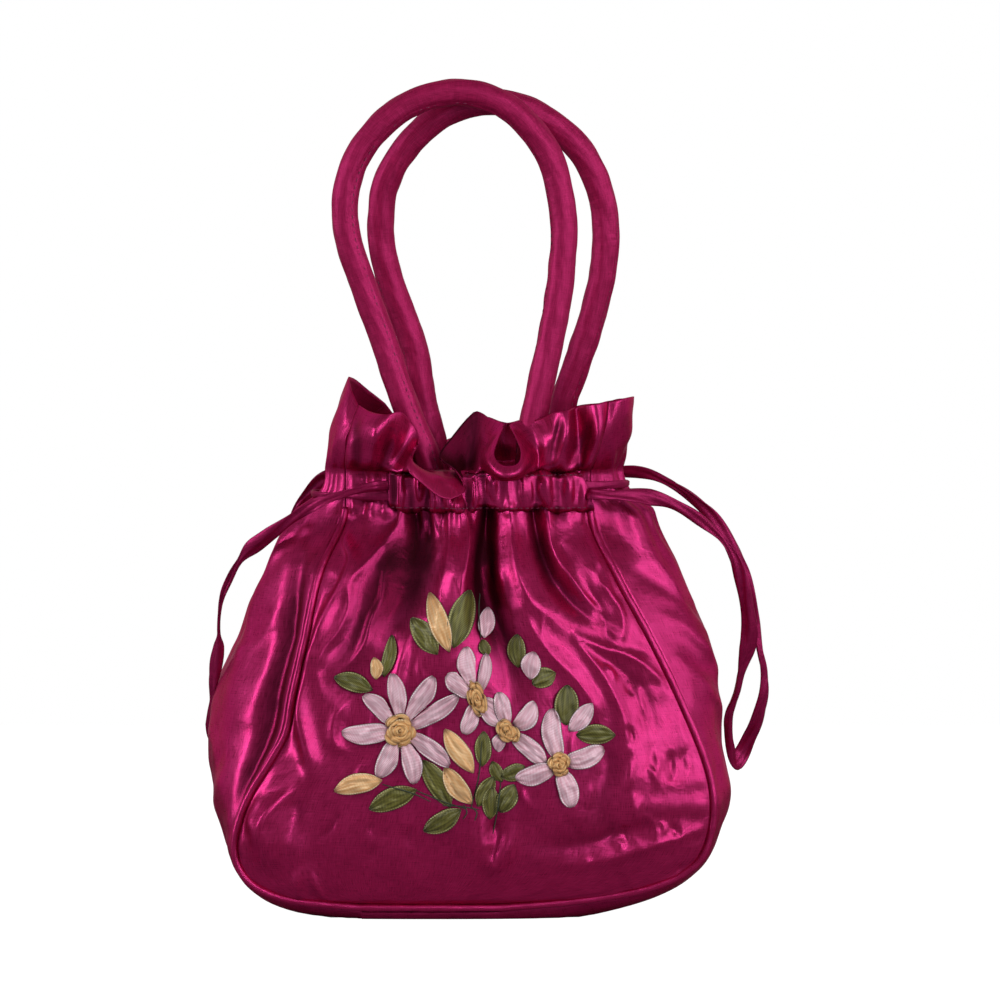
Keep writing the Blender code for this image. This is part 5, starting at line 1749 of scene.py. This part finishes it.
STEMS = (
    ((416, 790), (440, 800), (466, 809)), ((481, 740), (478, 775), (470, 808)),
    ((500, 780), (497, 806), (492, 834)),
    ((442, 805), (460, 806), (478, 809)), ((382, 784), (410, 792), (430, 801)),
    ((463, 804), (466, 812), (462, 819)),
    ((470, 806), (476, 812), (474, 820)), ((480, 640), (478, 612), (479, 596)),
)
RIBBON_WIDTH = 19.0
# The camera looks a little down, so what lies on the front panel shows lower than the board's own place.
EMBROIDERY_SHIFT = np.array([1.0, -4.6])
# A stitch's half width along its length, as shares.
PETAL_OUTLINE = (
    (0.0, 0.50), (0.08, 0.72), (0.22, 0.90), (0.45, 1.0), (0.66, 0.98), (0.80, 0.84), (0.90, 0.62),
    (0.97, 0.38), (1.0, 0.20),
)
LEAF_OUTLINE = (
    (0.0, 0.10), (0.08, 0.42), (0.20, 0.74), (0.36, 0.95), (0.54, 1.0), (0.72, 0.86), (0.86, 0.55),
    (0.95, 0.24), (1.0, 0.04),
)


# The rings of a wound centre: turns, first angle's share of a turn, radius, half breadth, reach, height in
# metres and tilt.
WOUND_RINGS = ((6, 0.0, 0.66, 0.38, 0.85, 0.0016, 0.7), (3, 0.5, 0.36, 0.34, 1.0, 0.0027, 0.7),
               (2, 1.0, 0.16, 0.28, 1.0, 0.0033, 0.5))


@dataclass
class Embroidery:
    """Ribbon stitches pulled through the front panel, each laid over the cloth and the stitches before."""

    panel: Thing
    finishes: Finishes
    rows: int = 23
    columns: int = 15
    hub: float = 8.0
    room: float = 0.84
    # Heights in metres over the cloth: the rounded middle, its foot, dents, creases, the wave and the cord.
    domed: float = 0.00095
    raised: float = 0.00030
    dented: float = 0.00075
    creased: float = 0.00034
    cupped: float = 0.00030
    corded: float = 0.00030
    bed: float = 0.00022
    least_gap: float = 0.0002
    # The turns of a wound centre, in metres: how round, pleated and tilted each is, and its step up.
    wound_round: float = 0.0010
    wound_pleat: float = 0.00055
    wound_lean: float = 0.0012
    wound_step: float = 0.00025
    stem_radius: float = 0.00026
    stem_sides: int = 6
    layers: list = field(default_factory=list)
    made: dict = field(default_factory=dict)

    def __post_init__(self) -> None:
        """Starts with the bare panel."""
        self.layers.append(surface_of(self.panel))

    def under(self, x: Array, z: Array, layers: Sequence[BVHTree]) -> Array:
        """How far to the front the layers reach.

        Args:
            x: the places to the right, in metres.
            z: their heights.
            layers: the surfaces to look at.

        Returns:
            The outermost y at each place, or nan beside the layers.
        """
        found = []
        for right, up in zip(np.ravel(x), np.ravel(z)):
            hits = [layer.ray_cast(Vector((right, -1.0, up)), Vector((0, 1, 0)))[0] for layer in layers]
            found.append(min((hit.y for hit in hits if hit), default=math.nan))
        return np.array(found).reshape(np.shape(x))

    def strip(
        self, start: Array, tip: Array, width: float, bow: float, twist: float, puff: float = 1.0,
        most: Callable[[Array], Array] | None = None, skew: float = 0.0, shade: float = 0.0,
    ) -> tuple[Array, Array, Array]:
        """One ribbon stitch as a grid of points.

        Args:
            start: the board place where the ribbon comes up.
            tip: the board place where it goes down.
            width: the ribbon's width in board units.
            bow: how far the stitch bends sideways, in board units.
            twist: how far one edge stands higher than the other, in metres.
            puff: how full the stitch is.
            most: the most half width on each side at distances from the start.
            skew: how far the tip lies to one side, as a share of the half width.
            shade: how much darker than the others this stitch is.

        Returns:
            The points, their places on the ribbon and the shade painted on them, strongest in the creases and
            at the two ends.
        """
        t, s = np.linspace(0, 1, self.rows)[:, None], np.linspace(-1, 1, self.columns)[None, :]
        way = tip - start
        length = float(np.linalg.norm(way))
        side = np.array([-way[1], way[0]]) / length
        half = curve_at(PETAL_OUTLINE if most else LEAF_OUTLINE, t) * width / 2
        hook = 5.0 * bow * np.maximum(t - 0.62, 0.0) ** 1.5
        leaning = skew * width / 2 * np.maximum(t - 0.4, 0.0) ** 2 / 0.36
        middle = start + way * t + side * (bow * np.sin(math.pi * t) + hook + leaning) + EMBROIDERY_SHIFT
        reach = half * s
        if most:
            one, other = most(length * t)
            reach = np.clip(reach, -other, one)
        x, z = from_board(*np.moveaxis(middle[:, None] + side * reach[..., None], -1, 0))
        flat = np.stack(np.broadcast_arrays((s + 1) / 2, t * length * UNIT), axis=-1)
        ground = np.nan_to_num(self.under(x, z, self.layers[:1]))
        smooth = ground
        for _ in range(3):
            padded = np.pad(smooth, 1, mode="edge")
            smooth = (padded[:-2, 1:-1] + padded[2:, 1:-1] + padded[1:-1, :-2] + padded[1:-1, 2:]) / 4
        rise = np.sin(math.pi * np.clip(t * 0.96 + 0.02, 0, 1)) ** 0.5
        phase = 40.0 * bow
        creases = np.sin(s * 5.2 + phase) + 0.6 * np.sin(s * 10.5 + 2 * phase)
        creases = creases * (0.25 + 0.75 * np.abs(2 * t - 1) ** 1.5) * rise
        cup = np.sin(math.pi * 1.6 * t + phase) * (1 - 0.6 * np.abs(s)) * rise
        dents = crumple(t * length * UNIT + phase, s * width * UNIT, 0.0036, 3.0 + phase)
        full = self.domed * (1 - np.abs(s) ** 3.0) + self.raised + self.dented * dents
        lift = self.bed + puff * (full * rise + self.creased * creases + self.cupped * cup)
        lift = lift + (self.corded * np.abs(s) ** 4 + (twist * s + abs(twist)) * 0.5) * rise
        # Painted shade: darker near where the ribbon comes up and goes down and in its creases; the stitch's
        # own darker tone is added on top.
        painted_shade = np.clip(0.80 - 6.0 * t, 0, 0.65) + np.clip(-0.24 * creases - 0.10 * dents, 0, 0.45)
        painted_shade = painted_shade + np.clip(7.0 * t - 6.35, 0, 0.6) + shade
        y = np.minimum(smooth, ground + 0.0001) - np.maximum(lift, 0.00018)
        y = np.fmin(y, self.under(x, z, self.layers) - self.least_gap)
        return np.stack([x, y, z], axis=-1), flat, np.clip(painted_shade, 0, 0.8)

    def finish(self, name: str, parts: Sequence, material: Material, thick: float = 0.00025) -> None:
        """Joins grids of points into one piece and lays it down.

        Args:
            name: the piece's name.
            parts: (points, map, painted shade) of each grid.
            material: its ribbon.
            thick: the ribbon's thickness in metres.
        """
        faces, start = [], 0
        for points, _, _ in parts:
            verts = points.reshape(-1, 3)
            grid = grid_faces(*points.shape[:2])
            a, b, c = verts[list(grid[0][:3])]
            way = -1 if np.cross(b - a, c - a)[1] > 0 else 1
            faces += [tuple(start + i for i in face[::way]) for face in grid]
            start += len(verts)
        verts, flat = (np.vstack([part[k].reshape(-1, part[k].shape[-1]) for part in parts]) for k in (0, 1))
        thing = link_mesh(name, verts, faces, flat, np.concatenate([np.ravel(part[2]) for part in parts]))
        thing.data.materials.append(material)
        self.layers.append(surface_of(thicken(thing, thick)))
        self.made[name] = thing

    def stitches(self, name: str, table: Sequence, material: Material, seed: int) -> None:
        """Lays single stitches.

        Args:
            name: the pieces' shared name.
            table: (start, tip, width share) of each.
            material: their ribbon.
            seed: sets their small differences.
        """
        chance = np.random.default_rng(seed)
        for number, (start, tip, share) in enumerate(table, 1):
            bow, twist = chance.uniform(-2.4, 2.4), chance.uniform(-0.0012, 0.0012)
            skew, shade = chance.uniform(-0.4, 0.4), chance.uniform(0.0, 0.2)
            ends = np.array([start, tip], float)
            part = self.strip(*ends, RIBBON_WIDTH * share, bow, twist, skew=skew, shade=shade)
            self.finish(f"{name}_{number:02d}", [part], material)

    def daisy(self, name: str, middle: tuple, core: tuple, petals: tuple, seed: int) -> None:
        """Lays one daisy and its wound centre.

        Args:
            name: the daisy's name.
            middle: its board place.
            core: its centre's half length, half width and angle.
            petals: (degrees, length, width share) of each petal.
            seed: sets the petals' small differences.
        """
        chance = np.random.default_rng(seed)
        order = sorted(petals)
        angles = [math.radians(p[0]) for p in order]
        gaps = [((angles[(i + 1) % len(order)] - a) % (2 * math.pi)) / 2 for i, a in enumerate(angles)]
        parts = []
        for i, (angle, (_, length, share)) in enumerate(zip(angles, order)):
            way, centre = np.array([math.cos(angle), -math.sin(angle)]), np.array(middle, float)
            room = [math.tan(min(gap, 0.9)) * self.room for gap in (gaps[i - 1], gaps[i])]

            def most(distance: Array) -> tuple[Array, Array]:
                """The room to the next petals, from their shared middle."""
                return tuple((self.hub + distance) * share_of_it for share_of_it in room)

            bow, twist = chance.uniform(-2.2, 2.2), chance.uniform(-0.0013, 0.0013)
            skew, shade = chance.uniform(-0.75, 0.75), chance.uniform(0.0, 0.18)
            ends = centre + way * self.hub, centre + way * length
            parts.append(self.strip(*ends, RIBBON_WIDTH * share, bow, twist, 1.1, most, skew, shade))
        self.finish(f"{name}_petals", parts, self.finishes.pink)
        self.rosette(f"{name}_centre", middle, core, seed)

    def rosette(self, name: str, middle: tuple, core: tuple, seed: int) -> None:
        """Winds a daisy's centre from overlapping turns of gold ribbon.

        Args:
            name: the piece's name.
            middle: its board place.
            core: half length, half width and angle in degrees.
            seed: sets the turns' small differences.
        """
        chance = np.random.default_rng(seed + 50)
        half_long, half_wide, degrees = core
        cos, sin = math.cos(math.radians(degrees)), math.sin(math.radians(degrees))
        x0, z0 = from_board(*(np.array(middle, float) + EMBROIDERY_SHIFT))
        dx, dz = np.meshgrid((-10, 0, 10), (-10, 0, 10))
        ground = float(np.nanmedian(self.under(x0 + dx * UNIT, z0 + dz * UNIT, self.layers)))
        t, s = np.linspace(0, 1, 13)[:, None], np.linspace(-1, 1, 9)[None, :]
        dip = np.sin(math.pi * t) ** 0.5
        parts = []
        for count, first, radius, breadth, reach, height, tilt in WOUND_RINGS:
            for k in range(count):
                angle = 2 * math.pi * (k + first) / count + chance.uniform(-0.2, 0.2)
                lean = chance.uniform(-0.65, 0.65)
                r = radius + breadth * s * (0.35 + 0.65 * dip)
                a = angle + (t - 0.5) * reach * 2 * math.pi / count * 1.35 + lean * s
                pleat = np.sin(s * 7 + 2.3 * k + 5 * lean * (t - 0.5))
                # Painted shade at the ends of each turn, where it tucks under, in its pleats and towards its
                # edges.
                painted_shade = np.clip(0.9 * (1 - dip) - 0.45 * pleat + 0.4 * np.abs(s) ** 3, 0, 0.9)
                long, wide = np.cos(a) * r * half_long, np.sin(a) * r * half_wide
                x, z = x0 + (cos * long - sin * wide) * UNIT, z0 + (sin * long + cos * wide) * UNIT
                y = ground - height * (0.35 + 0.65 * dip) - self.wound_round * (1 - s * s) * dip
                y = y - self.wound_pleat * pleat + self.wound_lean * tilt * s
                y = y - self.wound_step * k * (t - 0.3)
                flat = np.stack(np.broadcast_arrays((s + 1) / 2, t * 0.012), axis=-1)
                parts.append((np.stack([x, y, z], axis=-1), flat, painted_shade))
        self.finish(name, parts, self.finishes.wound, 0.0003)

    def stem_piece(self) -> Thing:
        """Lays the thin stems of green thread as one piece.

        Returns:
            The stems.
        """
        verts, faces, start, sides = [], [], 0, self.stem_sides
        angles = np.linspace(0, 2 * math.pi, sides, endpoint=False)[:, None]
        for stem in STEMS:
            x, z = from_board(*(rounded(np.array(stem, float), 12) + EMBROIDERY_SHIFT).T)
            y = np.nan_to_num(self.under(x, z, self.layers), nan=-0.04) - 0.00022
            for _ in range(2):
                y[1:-1] = np.minimum(y[1:-1], (y[:-2] + y[2:]) / 2)
            points = np.stack([x, y, z], axis=1)
            _, across, out = steady_frames(points, (0.3, 1.0, 0.2))
            ends = np.sin(np.linspace(0.15, math.pi - 0.15, len(points))) ** 0.3
            for point, right, up, end in zip(points, across, out, ends):
                verts.append(point + self.stem_radius * end * (np.cos(angles) * right + np.sin(angles) * up))
            last = start + (len(points) - 1) * sides
            faces += [tuple(start + k for k in face) for face in grid_faces(len(points), sides, closed=True)]
            faces += [tuple(range(start, start + sides))[::-1], tuple(range(last, last + sides))]
            start = last + sides
        thing = link_mesh("stems", np.vstack(verts), faces)
        thing.data.materials.append(self.finishes.stem)
        return thing

    def build(self) -> None:
        """Lays every stitch from the bottom layer up."""
        self.stitches("leaf", GREEN_LEAVES, self.finishes.green, 5)
        self.stitches("gold_petal", GOLD_PETALS, self.finishes.gold, 6)
        self.stitches("pink_petal", PINK_PETALS, self.finishes.pink, 7)
        for seed, (name, middle, core, petals) in enumerate(DAISIES):
            self.daisy(name, middle, core, petals, 10 + seed)

    @staticmethod
    def slot(name: str) -> str:
        """The material slot's name for a stitch of this name."""
        if name.startswith("leaf"):
            return "green_ribbon"
        return "gold_ribbon" if name.startswith("gold") or name.endswith("_centre") else "pink_ribbon"


@dataclass
class Studio:
    """A white sweep, large soft boxes at the two sides and above, and the camera in front."""

    distance: float = 4.0
    elevation: float = 3.0
    view_width: float = 0.4
    sensor: float = 36.0
    middle: tuple[float, float, float] = (0.014, -0.02, 0.1672)
    aim: tuple[float, float, float] = (0.0, 0.0, 0.12)
    floor_half: float = 1.0
    # The lamps: name, place, width and height in metres, and power in watts.
    lamps: tuple = (
        ("strip_front", (0.85, -2.05, 0.95), (0.34, 2.0), 17),
        ("softbox_right", (1.80, -1.30, 0.80), (0.85, 1.5), 13),
        ("strip_right", (2.20, -0.15, 0.80), (0.60, 1.5), 6),
        ("strip_left", (-2.15, -0.60, 0.80), (0.45, 1.6), 21),
        ("softbox_fill", (-0.5, -2.6, 2.3), (2.0, 1.0), 8),
    )

    def camera(self) -> None:
        """Places the camera in front, a little above the level."""
        data = bpy.data.cameras.new("camera")
        data.sensor_width = self.sensor
        data.lens = self.sensor * self.distance / self.view_width
        data.clip_start, data.clip_end = 0.1, 60.0
        camera = put("camera", data)
        angle = math.radians(self.elevation)
        camera.location = Vector(self.middle) + Vector((0, -math.cos(angle), math.sin(angle))) * self.distance
        camera.rotation_euler = (math.radians(90) - angle, 0, 0)
        bpy.context.scene.camera = camera

    def softbox(self, name: str, place: Sequence[float], size: tuple[float, float], power: float) -> None:
        """Adds a soft box that points at the pouch.

        Args:
            name: the lamp's name.
            place: where it stands.
            size: its width and height in metres.
            power: its power in watts.
        """
        data = bpy.data.lights.new(name, "AREA")
        data.shape = "RECTANGLE"
        data.size, data.size_y = size
        data.energy = power
        lamp = put(name, data)
        lamp.location = place
        lamp.rotation_euler = (Vector(self.aim) - Vector(place)).to_track_quat("-Z", "Y").to_euler()
        lamp.visible_camera = False

    def floor(self) -> None:
        """Lays the white floor, which keeps the pouch's shadow."""
        mesh = bpy.data.meshes.new("floor")
        far = self.floor_half
        mesh.from_pydata([(-far, -far, 0), (far, -far, 0), (far, far, 0), (-far, far, 0)], [], [(0, 1, 2, 3)])
        floor = put("floor", mesh)
        material, tree, shader = new_material("white_paper_sweep")
        add = partial(add_node, tree)
        feed(shader, {"Base Color": linear("#A4A4A4"), "Roughness": 0.9})
        seen = add("ShaderNodeLightPath", out="Is Camera Ray")
        glow = add("ShaderNodeEmission", {"Color": WHITE, "Strength": 1.46})
        share = add("ShaderNodeMath", {0: seen, 1: 0.72}, TIMES)
        both = add("ShaderNodeMixShader", {0: share, 1: shader.outputs[0], 2: glow})
        feed(tree.nodes["Material Output"], {"Surface": both})
        mesh.materials.append(material)

    def world(self) -> None:
        """Makes the surroundings: white behind the pouch, and a dimmer room in front of it."""
        world = bpy.data.worlds.new("studio")
        bpy.context.scene.world = world
        world.use_nodes = True
        tree = world.node_tree
        tree.nodes.clear()
        add = partial(add_node, tree)
        path = add("ShaderNodeLightPath").node.outputs
        way = add("ShaderNodeTexCoord", out="Generated")
        depth = add("ShaderNodeSeparateXYZ", {0: way}, out="Y")
        behind = {"Value": depth, "From Min": 0.1, "From Max": 0.9}
        behind = add("ShaderNodeMapRange", behind, {"interpolation_type": "SMOOTHSTEP"})
        glossy = add("ShaderNodeMath", {0: path["Is Glossy Ray"], 1: behind}, TIMES)
        either = add("ShaderNodeMath", {0: path["Is Camera Ray"], 1: glossy}, GREATER)
        shown = add("ShaderNodeMath", {0: either, 1: path["Is Transmission Ray"]}, GREATER)
        room = add("ShaderNodeBackground", {"Color": WHITE, "Strength": 0.17})
        white = add("ShaderNodeBackground", {"Color": WHITE, "Strength": 1.0})
        both = add("ShaderNodeMixShader", {0: shown, 1: room, 2: white})
        add("ShaderNodeOutputWorld", {"Surface": both})

    def build(self) -> None:
        """Sets the stage."""
        for lamp in self.lamps:
            self.softbox(*lamp)
        self.floor()
        self.world()
        bpy.context.scene.view_settings.view_transform = "Standard"


def place(
    thing: Thing, materials: Sequence[Material] = (), node: str | None = None, slot: str | None = None
) -> Thing:
    """Dresses a finished piece, puts it on the CAD body and hides the CAD node that it replaces.

    Args:
        thing: the piece.
        materials: its materials, where it has none yet.
        node: the CAD node that it replaces.
        slot: not used.

    Returns:
        The same object.
    """
    for material in materials:
        thing.data.materials.append(material)
    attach(thing, BODY)
    if node:
        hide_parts(node)
    LOG.info("%s: %d vertices", thing.name, len(thing.data.vertices))
    return thing


def main() -> None:
    """Builds the studio and every piece of the pouch."""
    logging.basicConfig(level=logging.INFO, format="%(name)s %(message)s")
    studio = Studio()
    studio.camera()
    cut, finishes = Cut(), Finishes()
    cloth = (finishes.satin, finishes.reverse)
    for tape in (
        Drawstring(cut, Side.LEFT, LEFT_LOOP, seed=0.7, twisted=(548.0, 650.0)),
        Drawstring(cut, Side.RIGHT, RIGHT_LOOP, seed=2.1),
    ):
        cord, line = tape.build()
        place(cord, [finishes.tape], f"drawstring_{tape.side.word}", "satin")
    studio.build()
    front_folds = FRONT_FOLDS + scattered_folds(3, 46, (300, 660, 530, 880))
    front_folds += scattered_folds(8, 34, (596, 704, 540, 880), 1.7)
    back_folds = BACK_FOLDS + scattered_folds(4, 40, (280, 650, 530, 880))
    front = Panel(
        cut, Face.FRONT, front_folds, FRONT_PLEATS, FrillShape(FRONT_FRILL), FRILL_FOLDS,
        painted_shade_pocket=(-0.01, 0.065), shades=FRONT_SHADES,
    )
    back = Panel(cut, Face.BACK, back_folds, BACK_PLEATS, FrillShape(BACK_FRILL), seed=100.0)
    sheets = []
    for panel in (front, back):
        part = panel.face.word
        sheet = place(panel.build(), cloth, f"{part}_panel", "satin")
        sheets.append(sheet)
        casing = Casing(cut, panel)
        strip = place(casing.build(), [finishes.strip], f"{part}_casing", "satin")
        surface = surface_of(strip)
        lines = [casing.stitch_line(surface, offset) for offset in (-0.0066, 0.0066)]
        place(StitchRow().sew(f"{part}_casing_stitches", lines, finishes.stitch))
        place(Piping(cut, panel.face).build(), [finishes.satin], f"{part}_piping", "satin")
    gusset = place(Gusset(cut).build(), cloth, "gusset", "satin")
    for handle in (
        Handle(Face.FRONT, FRONT_ROUTE, (0.0135, 0.0154), seed=4.0),
        Handle(Face.BACK, BACK_ROUTE, (0.0135, 0.0108), seed=9.0),
    ):
        tube, seam = handle.build()
        part = f"handle_{handle.face.word}"
        place(tube, [finishes.handle], part, "satin")
        place(StitchRow(0.0030, 0.0017, 0.00036).sew(f"{part}_stitches", [seam], finishes.stitch))
    spray = Embroidery(sheets[0], finishes)
    spray.build()
    for name, thing in spray.made.items():
        place(thing, node=name, slot=spray.slot(name))
    place(spray.stem_piece())


if __name__ == "__main__":
    main()
